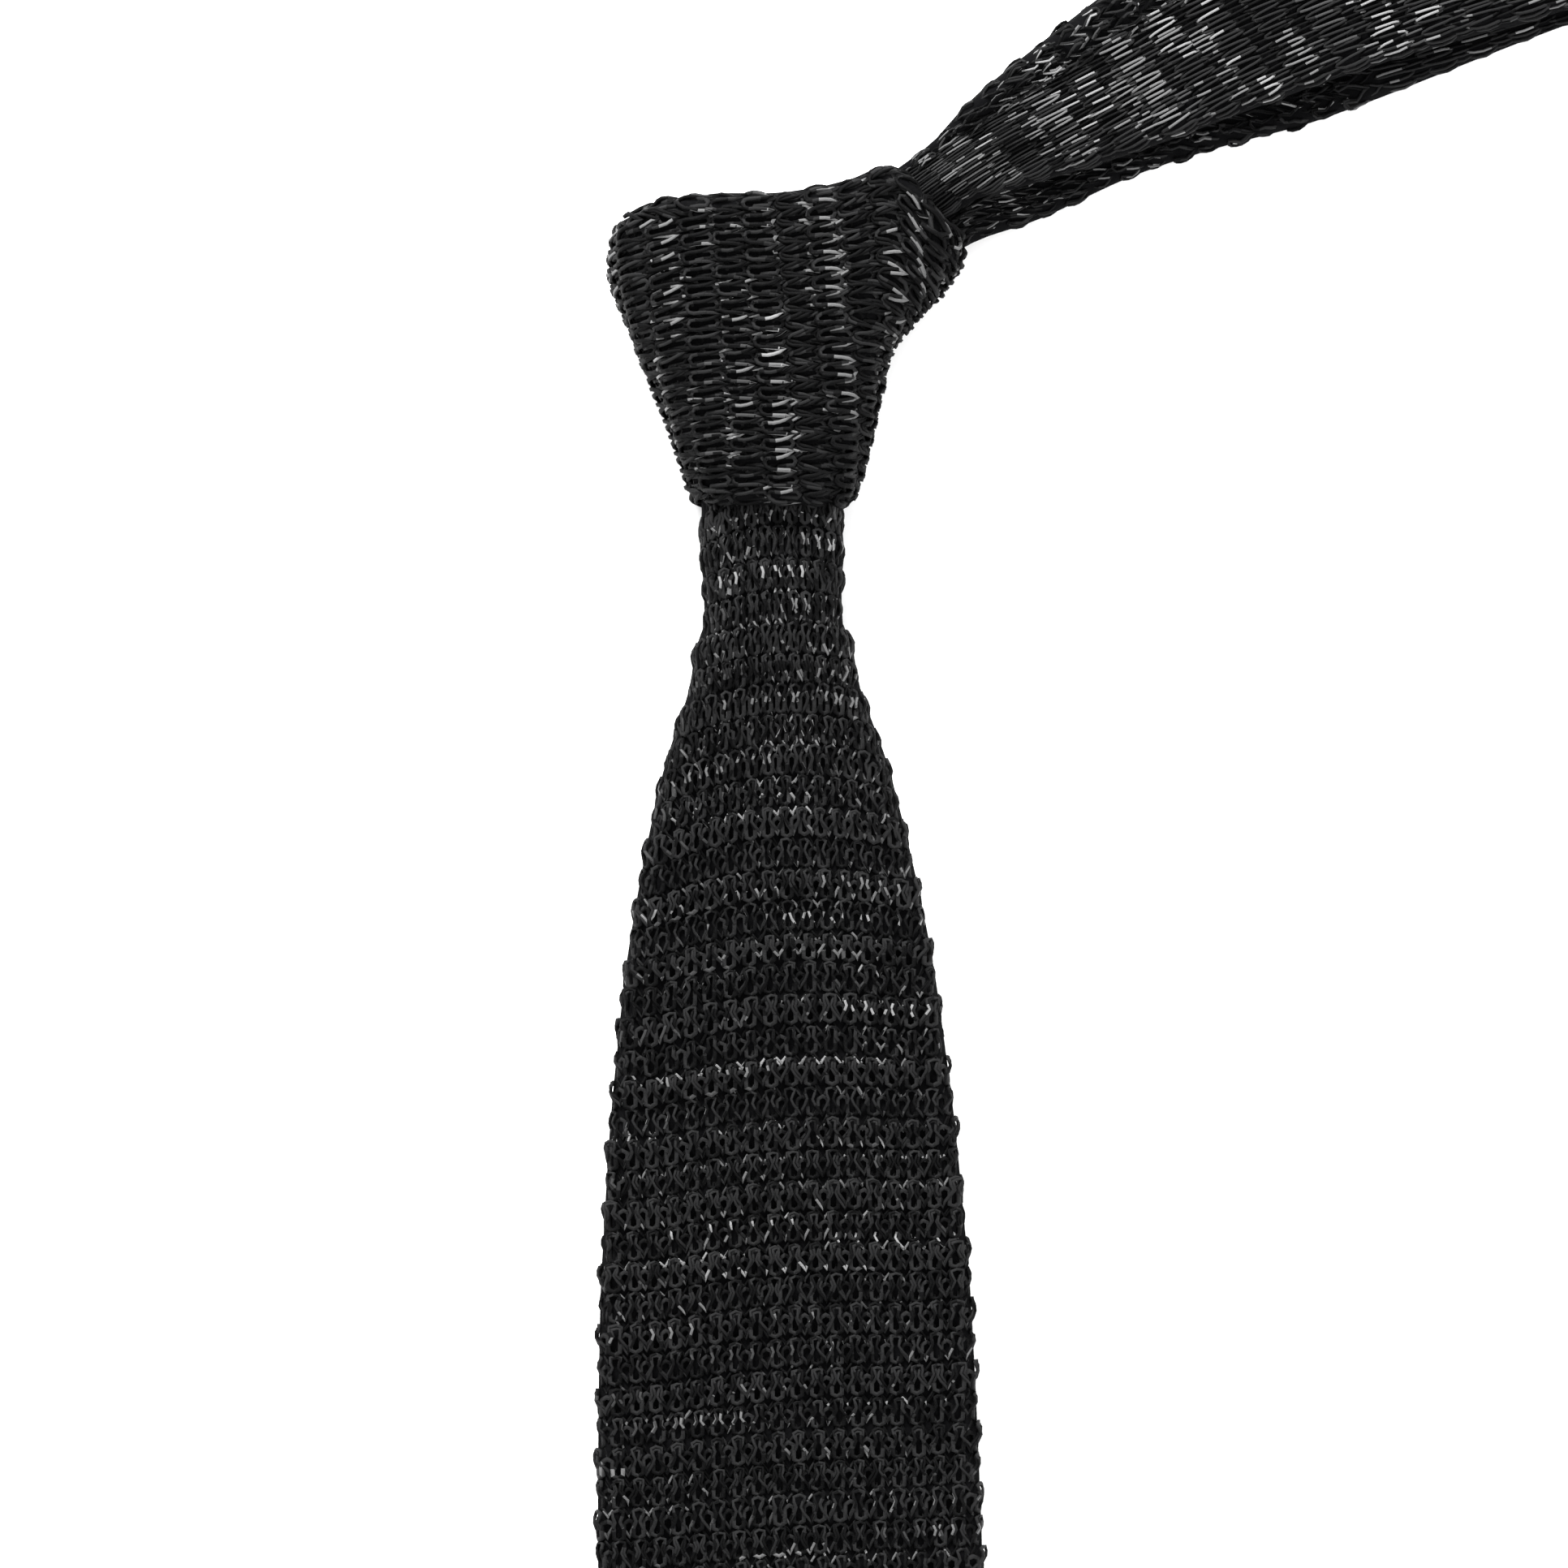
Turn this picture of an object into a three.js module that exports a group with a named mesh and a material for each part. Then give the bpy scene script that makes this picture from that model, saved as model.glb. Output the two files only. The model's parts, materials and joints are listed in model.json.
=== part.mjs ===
// Knitted necktie, tied in a four-in-hand knot and laid face up on a table.
// Millimetres, +Z up out of the table, -Y along the front blade towards its end.
// The origin is on the table, under the middle of the knot.
// The tie is one knitted tube, flattened to a double cloth. Each stretch of it is its own body.

import * as THREE from 'three';

// ---------- driving dimensions ----------
const GAP = 0.3;              // clearance between layers that touch
const CLOTH = 4.0;            // the flattened tube, two layers thick
const NECK_CLOTH = 3.6;       // the same cloth, pulled thinner round the neck

const BLADE_END_Y = -505;     // square-cut end of the front blade
const BLADE_WIDTH = 60;
const BLADE_LIFT = 5.8;       // underside of the blade where it lies on the tail
const BLADE_LEAN = 0.018;     // sideways run of the blade per length, about one degree

const MOUTH_Y = -24.9;        // lower edge of the knot
const THROAT_END_Y = -58;
const TAIL_END_Y = -326;
const TAIL_WIDTH = 48;
const TAIL_LIFT = 1.6;
const TAIL_THICK = 3.8;
const TAIL_TRAVEL = 60;       // how far the tail can be drawn down through the keeper

const KEEPER_Y = -275;
const KEEPER_HEIGHT = 12;
const KEEPER_STRIP = 1.1;
const TACK_THICK = 0.5;

const LEVEL = CLOTH + GAP;    // height of one layer in the knot
const KNOT_TOP = 5 * LEVEL - GAP;

const NECK_GAP = 5.7;         // space between the two neck strands
const NECK_ANGLE = 24;        // degrees from +X towards +Y, at the knot

// ---------- materials ----------
const colours = { knit: 0x1b1b1d, seam: 0x161618, tape: 0x141416, thread: 0x202022 };
const knit = () => new THREE.MeshStandardMaterial({ color: colours.knit, roughness: 0.92, metalness: 0 });
const seam = () => new THREE.MeshStandardMaterial({ color: colours.seam, roughness: 0.94, metalness: 0 });
const tape = () => new THREE.MeshStandardMaterial({ color: colours.tape, roughness: 0.7, metalness: 0 });
const thread = () => new THREE.MeshStandardMaterial({ color: colours.thread, roughness: 0.6, metalness: 0 });

const necktie = new THREE.Group();

function add(name, geometry, material) {
  const mesh = new THREE.Mesh(geometry, material);
  mesh.name = name;
  necktie.add(mesh);
  return mesh;
}

// ---------- shapes ----------

// A closed solid through rings of equal length. Each end is closed by the given flat triangles.
function loft(rings, cap) {
  const count = rings[0].length;
  const positions = rings.flat().flatMap((p) => [p.x, p.y, p.z]);
  const index = [];
  for (let r = 0; r < rings.length - 1; r++) {
    for (let i = 0; i < count; i++) {
      const a = r * count + i;
      const b = r * count + ((i + 1) % count);
      index.push(a, b, a + count, b, b + count, a + count);
    }
  }
  const last = (rings.length - 1) * count;
  for (const [a, b, c] of cap) {
    index.push(a, c, b, last + a, last + b, last + c);
  }
  const geometry = new THREE.BufferGeometry();
  geometry.setAttribute('position', new THREE.Float32BufferAttribute(positions, 3));
  geometry.setIndex(index);
  geometry.computeVertexNormals();
  return geometry;
}

// The outline of a flattened tube: flat faces with rounded edges.
function tubeSection(width, thickness, steps = 4) {
  const r = 0.49 * Math.min(thickness, width);
  const x = width / 2 - r;
  const y = thickness / 2 - r;
  const points = [];
  for (const [cx, cy, start] of [[x, y, 0], [-x, y, 90], [-x, -y, 180], [x, -y, 270]]) {
    for (let i = 0; i <= steps; i++) {
      const a = THREE.MathUtils.degToRad(start + (90 * i) / steps);
      points.push(new THREE.Vector2(cx + r * Math.cos(a), cy + r * Math.sin(a)));
    }
  }
  return points;
}

// A flat tube laid along stations {x, y, z, w, t}, where z is its middle height.
// side, when given, is the fixed direction across the band, as in a fold.
function band(stations, { steps = 14, side = null, sectionSteps = 3 } = {}) {
  const centre = new THREE.CatmullRomCurve3(
    stations.map((s) => new THREE.Vector3(s.x, s.y, s.z)), false, 'centripetal');
  const up = new THREE.Vector3(0, 0, 1);
  const rings = [];
  for (let i = 0; i <= steps; i++) {
    const place = (i / steps) * (stations.length - 1);
    const before = stations[Math.min(Math.floor(place), stations.length - 2)];
    const after = stations[Math.min(Math.floor(place), stations.length - 2) + 1];
    const share = place - stations.indexOf(before);
    const width = THREE.MathUtils.lerp(before.w, after.w, share);
    const thickness = THREE.MathUtils.lerp(before.t, after.t, share);
    const p = centre.getPoint(i / steps);
    const tangent = centre.getTangent(i / steps);
    const across = side ? side.clone() : tangent.clone().cross(up).normalize();
    const normal = across.clone().cross(tangent).normalize();
    rings.push(tubeSection(width, thickness, sectionSteps).map((q) => p.clone()
      .addScaledVector(across, q.x).addScaledVector(normal, q.y)));
  }
  const fan = rings[0].slice(2).map((_, i) => [0, i + 1, i + 2]);
  return loft(rings.reverse(), fan);
}

// A layer of cloth of the given plan outline, from height z0 to z1, with softened edges.
function layer(outline, z0, z1, { soft = 0.9, smooth = true, points = 44 } = {}) {
  const corners = outline.map(([x, y]) => new THREE.Vector3(x, y, 0));
  const plan = smooth
    ? new THREE.CatmullRomCurve3(corners, true, 'centripetal').getPoints(points).slice(0, -1)
    : corners;
  if (THREE.ShapeUtils.area(plan) < 0) plan.reverse();
  const inward = plan.map((p, i) => {
    const before = plan[(i + plan.length - 1) % plan.length];
    const after = plan[(i + 1) % plan.length];
    return new THREE.Vector3(before.y - after.y, after.x - before.x, 0).normalize();
  });
  const ring = (inset, z) => plan.map((p, i) => p.clone().addScaledVector(inward[i], inset).setZ(z));
  const slope = soft * 0.3;
  const rings = [
    ring(soft, z0), ring(slope, z0 + slope), ring(0, z0 + soft),
    ring(0, z1 - soft), ring(slope, z1 - slope), ring(soft, z1),
  ];
  return loft(rings, THREE.ShapeUtils.triangulateShape(plan.map((p) => new THREE.Vector2(p.x, p.y)), []));
}

const level = (n) => [n * LEVEL, n * LEVEL + CLOTH];
const middle = (n) => n * LEVEL + CLOTH / 2;
const bladeX = (y) => 0.3 + BLADE_LEAN * (MOUTH_Y - y);

// ---------- the knot ----------

// The front wrap: the pass across the face of the knot, and the part that turns back at the upper right.
add('knot_front_wrap', layer([
  [-25.8, 13.5], [-25.0, 18.5], [-21.0, 21.8], [-8.0, 24.2], [4.0, 24.6], [13.0, 26.6], [18.5, 28.6],
  [21.4, 27.0], [22.6, 22.4], [26.8, 20.6], [30.6, 16.0], [29.8, 12.8], [24.5, 6.8], [19.4, 0.4],
  [17.4, -8.0], [15.2, -17.0], [13.4, -23.4], [11.0, -24.9], [0, -24.9], [-9.0, -24.9],
  [-13.2, -22.9], [-14.4, -18.0], [-18.0, -8.5], [-22.2, 2.5],
], 4 * LEVEL, KNOT_TOP, { soft: 1.5, points: 60 }), knit());

// The turns that join the front wrap to the layers at the back, on each side of the knot.
add('knot_left_turn', layer([
  [-25.2, 13.5], [-24.2, 17.6], [-20.4, 19.4], [-19.2, 16.0], [-20.4, 11.5], [-17.8, 3.0], [-16.8, -2.4],
  [-18.0, -4.6], [-19.8, -3.0], [-22.0, 3.0],
], LEVEL, 4 * LEVEL - GAP, { soft: 0.4, points: 30 }), knit());
add('knot_right_turn', layer([
  [28.9, 12.6], [24.0, 6.6], [18.8, 0.0], [16.8, -8.0], [14.7, -16.6], [13.2, -20.6], [11.6, -17.8],
  [12.6, -10.0], [14.4, -1.0], [18.6, 5.0], [24.4, 11.4], [27.4, 14.2],
], LEVEL, 4 * LEVEL - GAP, { soft: 0.4, points: 34 }), knit());

// The drop: the front blade coming down behind the front wrap to the mouth.
add('knot_blade_drop', layer([
  [-15.6, 15.0], [-14.0, 19.6], [-6.0, 21.0], [3.0, 20.6], [5.4, 16.0], [7.6, 4.0], [10.6, -14.0],
  [10.8, -23.8], [0.4, -24.6], [-10.2, -23.8], [-10.4, -14.0], [-12.6, 2.0],
], ...level(3), { points: 32 }), knit());

// The top turn: from the riser at the back, over the top and into the drop.
add('knot_top_turn', layer([
  [-15.0, 18.4], [-14.0, 21.4], [-6.0, 22.8], [2.6, 22.4], [4.4, 20.0], [2.4, 18.6], [-6.0, 18.8],
  [-13.0, 17.2],
], LEVEL, 3 * LEVEL - GAP, { soft: 0.4, points: 24 }), knit());

// The first cross: the wide end's neck strand, passing left over the tail.
add('knot_first_cross', band([
  { x: 25.6, y: 25.4, z: middle(2), w: 10, t: CLOTH },
  { x: 17.5, y: 19.0, z: middle(2), w: 12, t: CLOTH },
  { x: 8.0, y: 10.4, z: middle(2), w: 15, t: CLOTH },
  { x: -2.5, y: 4.6, z: middle(2), w: 19, t: CLOTH },
  { x: -12.6, y: 1.6, z: middle(2), w: 20, t: CLOTH },
], { steps: 12 }), knit());

// Its turn round the left side, down to the back wrap.
add('knot_first_turn', layer([
  [-15.2, -7.0], [-12.6, -9.4], [-9.8, -7.6], [-10.2, 3.0], [-11.6, 9.6], [-14.9, 9.0], [-14.4, 1.0],
], LEVEL, 2 * LEVEL - GAP, { soft: 0.4, points: 24 }), knit());

// The tail passing down through the knot, under the first cross.
add('knot_tail_pass', band([
  { x: 27.4, y: 20.2, z: middle(1), w: 8.0, t: CLOTH },
  { x: 19.6, y: 15.4, z: middle(1), w: 8.4, t: CLOTH },
  { x: 10.6, y: 7.4, z: middle(1), w: 10.6, t: CLOTH },
  { x: 3.2, y: -4.6, z: middle(1), w: 14.0, t: CLOTH },
  { x: 0.8, y: -15.0, z: middle(1), w: 17.0, t: CLOTH },
  { x: 0.3, y: -24.6, z: middle(1), w: 18.0, t: CLOTH },
], { steps: 12 }), knit());

// The back of the knot, flat on the table: the back wrap and, above it, the riser.
add('knot_back_wrap', layer([
  [-17.6, -5.6], [-4.2, 1.8], [7.9, 11.2], [6.4, 21.6], [14.0, 23.6], [20.6, 20.6], [28.6, 13.0],
  [23.8, 6.6], [18.4, 0.0], [16.4, -8.0], [14.4, -16.6], [11.8, -23.8], [0.4, -24.6], [-10.4, -23.8],
  [-13.6, -17.2],
], 0, CLOTH, { smooth: false, soft: 0.9 }), knit());
add('knot_riser', layer([
  [-24.6, 13.5], [-23.4, 18.2], [-19.8, 20.6], [-8.0, 22.6], [5.4, 21.4], [6.8, 11.9], [-4.7, 2.9],
  [-18.2, -4.4], [-21.6, 3.4],
], 0, CLOTH, { smooth: false, soft: 0.9 }), knit());

// ---------- the front blade ----------

const leanAngle = Math.atan(BLADE_LEAN);
const SEAM_DEPTH = 2.4;

// The blade lies on the tail, and comes down to the table past the tail's lowest reach.
const DROP_START_Y = TAIL_END_Y - TAIL_TRAVEL - 8;
const DROP_END_Y = DROP_START_Y - 30;
const bladeBottom = (y) => 0.1 + (BLADE_LIFT - 0.1) * THREE.MathUtils.smoothstep(y, DROP_END_Y, DROP_START_Y);
const bladeStation = (y, w, t, bottom = bladeBottom(y)) => ({ x: bladeX(y), y, z: bottom + t / 2, w, t });

// The throat, where the blade leaves the knot with its edges curled behind.
add('blade_throat', band([
  bladeStation(MOUTH_Y - 0.7, 21.0, 7.4, 8.9),
  bladeStation(-31, 22.0, 8.4, 8.3),
  bladeStation(-38, 20.8, 8.6, 7.5),
  bladeStation(-47, 22.6, 8.2, 6.6),
  bladeStation(THROAT_END_Y, 28.4, 7.4),
], { steps: 8 }), knit());

const bladeStations = [
  [THROAT_END_Y - 2 * GAP, 28.4, 7.2], [-72, 37.0, 6.0], [-97, 48.4, 4.9], [-122, 54.6, 4.2],
  [-148, 57.8, CLOTH], [-190, BLADE_WIDTH, CLOTH], [-250, BLADE_WIDTH, CLOTH], [-320, BLADE_WIDTH, CLOTH],
  [DROP_START_Y + 20, BLADE_WIDTH, CLOTH],
].map(([y, w, t]) => bladeStation(y, w, t));
for (let y = DROP_START_Y; y >= DROP_END_Y; y -= 6) {
  bladeStations.push(bladeStation(y, BLADE_WIDTH, CLOTH));
}
for (const y of [DROP_END_Y - 20, -465, BLADE_END_Y + SEAM_DEPTH + GAP]) {
  bladeStations.push(bladeStation(y, BLADE_WIDTH, CLOTH));
}
add('blade_body', band(bladeStations, { steps: bladeStations.length * 2 - 2 }), knit());

// The linked row that closes a square-cut end of the tube.
function endSeam(width, thickness, y, z) {
  const halfWidth = width / 2 - 0.6;
  const seamLayer = layer([
    [-halfWidth, 0], [halfWidth, 0], [halfWidth, SEAM_DEPTH], [-halfWidth, SEAM_DEPTH],
  ], z, z + thickness, { smooth: false, soft: 0.8 });
  return seamLayer.rotateZ(leanAngle).translate(bladeX(y), y, 0);
}
add('blade_end_seam', endSeam(BLADE_WIDTH, CLOTH - 0.6, BLADE_END_Y, 0.3), seam());

// ---------- the tail ----------

const tailStation = (y, w, bottom, t = TAIL_THICK) => ({ x: bladeX(y), y, z: bottom + t / 2, w, t });

// The first stretch slopes from the knot down to the table and moves with the blade.
add('tail_throat', band([
  tailStation(MOUTH_Y - 0.7, 18, LEVEL),
  tailStation(-34, 18, 3.6),
  tailStation(-44, 18, 2.2),
  tailStation(THROAT_END_Y + 4, 19, TAIL_LIFT),
  tailStation(THROAT_END_Y, 20, TAIL_LIFT),
], { steps: 8 }), knit());

add('tail_body', band([
  tailStation(THROAT_END_Y - 2 * GAP, 20, TAIL_LIFT),
  tailStation(-100, 30, TAIL_LIFT),
  tailStation(-150, 38, TAIL_LIFT),
  tailStation(-210, 44, TAIL_LIFT),
  tailStation(-270, 47, TAIL_LIFT),
  tailStation(TAIL_END_Y + SEAM_DEPTH + GAP, TAIL_WIDTH, TAIL_LIFT),
], { steps: 15 }), knit());
add('tail_end_seam', endSeam(TAIL_WIDTH, TAIL_THICK - 0.6, TAIL_END_Y, TAIL_LIFT + 0.3), seam());

// ---------- the keeper on the back of the blade ----------

const keeperX = bladeX(KEEPER_Y);
const keeperTop = BLADE_LIFT - GAP;
const half = 25.2;

// A strip under the tail, with a flange at each end sewn to the back of the blade.
const keeperShape = new THREE.Shape([
  [-half - 4, keeperTop], [-half - 4, keeperTop - KEEPER_STRIP], [-half - KEEPER_STRIP, keeperTop - KEEPER_STRIP],
  [-half - KEEPER_STRIP, 0.9], [-half, 0.1], [half, 0.1], [half + KEEPER_STRIP, 0.9],
  [half + KEEPER_STRIP, keeperTop - KEEPER_STRIP], [half + 4, keeperTop - KEEPER_STRIP], [half + 4, keeperTop],
  [half, keeperTop], [half, 1.6], [half - 0.6, 0.1 + KEEPER_STRIP], [-half + 0.6, 0.1 + KEEPER_STRIP],
  [-half, 1.6], [-half, keeperTop],
].map(([x, z]) => new THREE.Vector2(x, z)));
const keeper = new THREE.ExtrudeGeometry(keeperShape, { depth: KEEPER_HEIGHT, bevelEnabled: false });
keeper.rotateX(Math.PI / 2).translate(0, KEEPER_HEIGHT / 2, 0).rotateZ(leanAngle).translate(keeperX, KEEPER_Y, 0);
add('keeper_loop', keeper, tape());

// The dense bar of stitches that holds each end of the keeper.
for (const [name, sign] of [['keeper_tack_left', -1], ['keeper_tack_right', 1]]) {
  const tack = new THREE.BoxGeometry(1.8, KEEPER_HEIGHT - 2, TACK_THICK);
  const z = keeperTop - KEEPER_STRIP - GAP - TACK_THICK / 2;
  tack.translate(sign * (half + KEEPER_STRIP + 1.6), 0, z).rotateZ(leanAngle).translate(keeperX, KEEPER_Y, 0);
  add(name, tack, thread());
}

// ---------- the neck loop ----------

const nearZ = NECK_CLOTH + NECK_GAP + NECK_CLOTH / 2;
const farZ = NECK_CLOTH / 2;
const foldAngle = THREE.MathUtils.degToRad(19);
const foldAt = new THREE.Vector3(203, 98.6, 0);

// The near strand lies on top: it fans out from the knot and ends in the first cross.
add('neck_near_strand', band([
  { x: 26.6, y: 26.0, z: middle(2), w: 10.5, t: NECK_CLOTH },
  { x: 35.4, y: 32.3, z: nearZ, w: 15.5, t: NECK_CLOTH },
  { x: 45.1, y: 37.4, z: nearZ, w: 20.0, t: NECK_CLOTH },
  { x: 55.4, y: 42.9, z: nearZ, w: 24.0, t: NECK_CLOTH },
  { x: 68.1, y: 49.8, z: nearZ, w: 28.0, t: NECK_CLOTH },
  { x: 90.0, y: 59.8, z: nearZ, w: 32.0, t: NECK_CLOTH },
  { x: 120.0, y: 70.2, z: nearZ, w: 35.0, t: NECK_CLOTH },
  { x: 160.0, y: 83.8, z: nearZ, w: 37.0, t: NECK_CLOTH },
  { x: foldAt.x, y: foldAt.y, z: nearZ, w: 37.0, t: NECK_CLOTH },
], { steps: 18 }), knit());

// The far strand lies on the table under it and ends in the tail.
add('neck_far_strand', band([
  { x: 28.7, y: 20.9, z: middle(1), w: 9.0, t: NECK_CLOTH },
  { x: 38.0, y: 24.6, z: 4.0, w: 12.5, t: NECK_CLOTH },
  { x: 51.9, y: 34.4, z: farZ + 0.2, w: 20.0, t: NECK_CLOTH },
  { x: 66.3, y: 42.2, z: farZ, w: 25.0, t: NECK_CLOTH },
  { x: 80.1, y: 48.9, z: farZ, w: 29.0, t: NECK_CLOTH },
  { x: 103.4, y: 61.0, z: farZ, w: 33.0, t: NECK_CLOTH },
  { x: 118.3, y: 67.0, z: farZ, w: 35.0, t: NECK_CLOTH },
  { x: 160.0, y: 83.2, z: farZ, w: 37.0, t: NECK_CLOTH },
  { x: foldAt.x, y: foldAt.y, z: farZ, w: 37.0, t: NECK_CLOTH },
], { steps: 18 }), knit());

// The fold at the back of the neck, where the near strand turns under into the far one.
const along = new THREE.Vector3(Math.cos(foldAngle), Math.sin(foldAngle), 0);
const across = new THREE.Vector3(Math.sin(foldAngle), -Math.cos(foldAngle), 0);
const turn = (nearZ - farZ) / 2;
const foldStations = [];
for (let i = 0; i <= 8; i++) {
  const a = (Math.PI * i) / 8;
  const reach = turn * Math.sin(a) + 1.2;
  foldStations.push({
    x: foldAt.x + along.x * reach, y: foldAt.y + along.y * reach,
    z: farZ + turn + turn * Math.cos(a), w: 37, t: NECK_CLOTH,
  });
}
add('neck_back_fold', band(foldStations, { steps: 12, side: across }), knit());

export default necktie;
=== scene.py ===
"""A charcoal marl knitted necktie, tied in a four-in-hand knot and laid face up on a pale floor.

Lengths are worked out in millimetres and turned into metres when a mesh is made.
The tie is one weft-knitted tube. Each stretch of it is a cloth body with real yarn loops on it.
"""

import json
import math

import bpy
import numpy as np
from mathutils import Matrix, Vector

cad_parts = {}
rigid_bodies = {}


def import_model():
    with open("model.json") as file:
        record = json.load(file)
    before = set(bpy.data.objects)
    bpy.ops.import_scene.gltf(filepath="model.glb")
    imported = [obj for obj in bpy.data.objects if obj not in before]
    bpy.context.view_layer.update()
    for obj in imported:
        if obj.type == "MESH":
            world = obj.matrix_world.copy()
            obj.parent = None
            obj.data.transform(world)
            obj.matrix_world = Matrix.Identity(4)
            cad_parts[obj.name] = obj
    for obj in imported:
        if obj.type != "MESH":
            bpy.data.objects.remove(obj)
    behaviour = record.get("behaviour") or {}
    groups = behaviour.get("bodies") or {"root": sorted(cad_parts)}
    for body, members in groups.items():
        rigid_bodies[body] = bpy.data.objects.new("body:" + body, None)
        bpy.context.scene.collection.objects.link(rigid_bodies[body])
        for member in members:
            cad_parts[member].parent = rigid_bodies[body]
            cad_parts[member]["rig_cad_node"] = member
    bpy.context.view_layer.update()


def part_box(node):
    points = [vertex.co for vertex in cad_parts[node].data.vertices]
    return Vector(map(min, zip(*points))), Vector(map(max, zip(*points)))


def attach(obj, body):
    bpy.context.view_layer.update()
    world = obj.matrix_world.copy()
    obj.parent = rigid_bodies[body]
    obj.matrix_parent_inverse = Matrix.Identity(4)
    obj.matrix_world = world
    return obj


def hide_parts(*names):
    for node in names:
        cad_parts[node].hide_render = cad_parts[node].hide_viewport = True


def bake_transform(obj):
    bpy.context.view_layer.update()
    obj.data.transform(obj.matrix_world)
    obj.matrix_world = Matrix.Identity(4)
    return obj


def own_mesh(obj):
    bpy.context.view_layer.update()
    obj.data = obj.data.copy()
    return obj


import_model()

MM = 0.001
COURSE = 2.44  # height of one knitted row
# Four rows repeat. Those with full ring-shaped heads lie between sunk ones, of which only the feet come up.
RIDGE_HEIGHTS = (0.85, -0.8, 0.45, -0.7)
ROW_FOOT = (-0.4, 0.85, -0.4, 0.85)  # how far a loop's foot stands up, against its head
ROW_REACH = (1.0, 0.9, 1.0, 0.9)
ROW_STOUT = (1.16, 0.95, 1.08, 0.95)  # thickness of the yarn
ROW_MARL_AND_PAINTED_SHADE = (0.62, 0.25, 0.45, 0.2)  # how much of a row is the lighter charcoal: marl yarn, and painted shade that leaves the sunk rows darker
FLAT = (0, 0, 0, 0)  # feet that stand no higher than the heads
RING = (0.05, 0.075, -0.095)  # sideways swing of a loop, as sine terms: a round head on a closed neck
TIP = 0.5  # how far the foot is drawn out to a point
SPARSE = {"plenty": 0.5}  # the flecks of a stretch that has no others of its own
# The loops of the back bed, seen between the others.
REVERSE = {"plies": 1, "ply": 0.4, "per_loop": 8, "lift": -0.45, "deep": 0.1, "feet": FLAT, "tall": 0.62,
           "tip": 0.0, "swing": (0.0, 0.12),
           "fleck": {"plenty": 0.12, "runs": (1, 4), "levels": (2, 2, 3)}}
PLAIN = {"plies": 1, "ply": 0.42, "per_loop": 8}  # loops that the photograph doesn't show: one thick ply
TABLE_GAP = 0.65  # no yarn's middle comes closer to the table
LEAN = 0.018  # sideways run of the blade per length
MOUTH_Y = -24.9  # the knot's lower edge, where the blade comes out

rng = np.random.default_rng(11)


# ---------------- small maths


def curve(xs, ys, x):
    """A smooth curve through points, with no overshoot (monotone cubic)."""
    xs, ys, x = np.asarray(xs, float), np.asarray(ys, float), np.asarray(x, float)
    step = np.diff(xs)
    slope = np.diff(ys) / step
    tangent = np.zeros_like(ys)
    same = slope[1:] * slope[:-1] > 0
    mean = 2 * slope[1:] * slope[:-1] / np.where(same, slope[1:] + slope[:-1], 1)
    tangent[1:-1] = np.where(same, mean, 0)
    tangent[0], tangent[-1] = slope[0], slope[-1]
    i = np.clip(np.searchsorted(xs, x) - 1, 0, len(xs) - 2)
    t = np.clip((x - xs[i]) / step[i], 0, 1)
    low = ys[i] * (1 + 2 * t) * (1 - t) ** 2 + step[i] * tangent[i] * t * (1 - t) ** 2
    high = ys[i + 1] * t * t * (3 - 2 * t) + step[i] * tangent[i + 1] * t * t * (t - 1)
    return low + high


def ramp(x, start, end):
    t = np.clip((x - start) / (end - start), 0, 1)
    return t * t * (3 - 2 * t)


def unit(v):
    return v / np.maximum(np.linalg.norm(v, axis=-1, keepdims=True), 1e-9)


def smoothed(values, reach):
    """A running mean over reach values on either side. The ends stay where they are."""
    window = np.hanning(2 * reach + 1) / np.hanning(2 * reach + 1).sum()
    return np.convolve(np.pad(values, reach, mode="reflect", reflect_type="odd"), window, "valid")


def tube_section(s, width, thick):
    """Arc length s round a flattened tube, from its face's middle, as (across, up, out across, out up)."""
    r = thick / 2
    flat = np.maximum(width / 2 - r, 0.05)
    away, sign = np.abs(s), np.where(s < 0, -1.0, 1.0)
    turn = np.clip((away - flat) / r, 0, np.pi)
    back = np.maximum(away - flat - np.pi * r, 0)
    across = sign * np.maximum(np.minimum(away, flat) + r * np.sin(turn) - back, 0)
    return across, r * np.cos(turn), sign * np.sin(turn), np.cos(turn)


# ---------------- stretches of the tube


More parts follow.
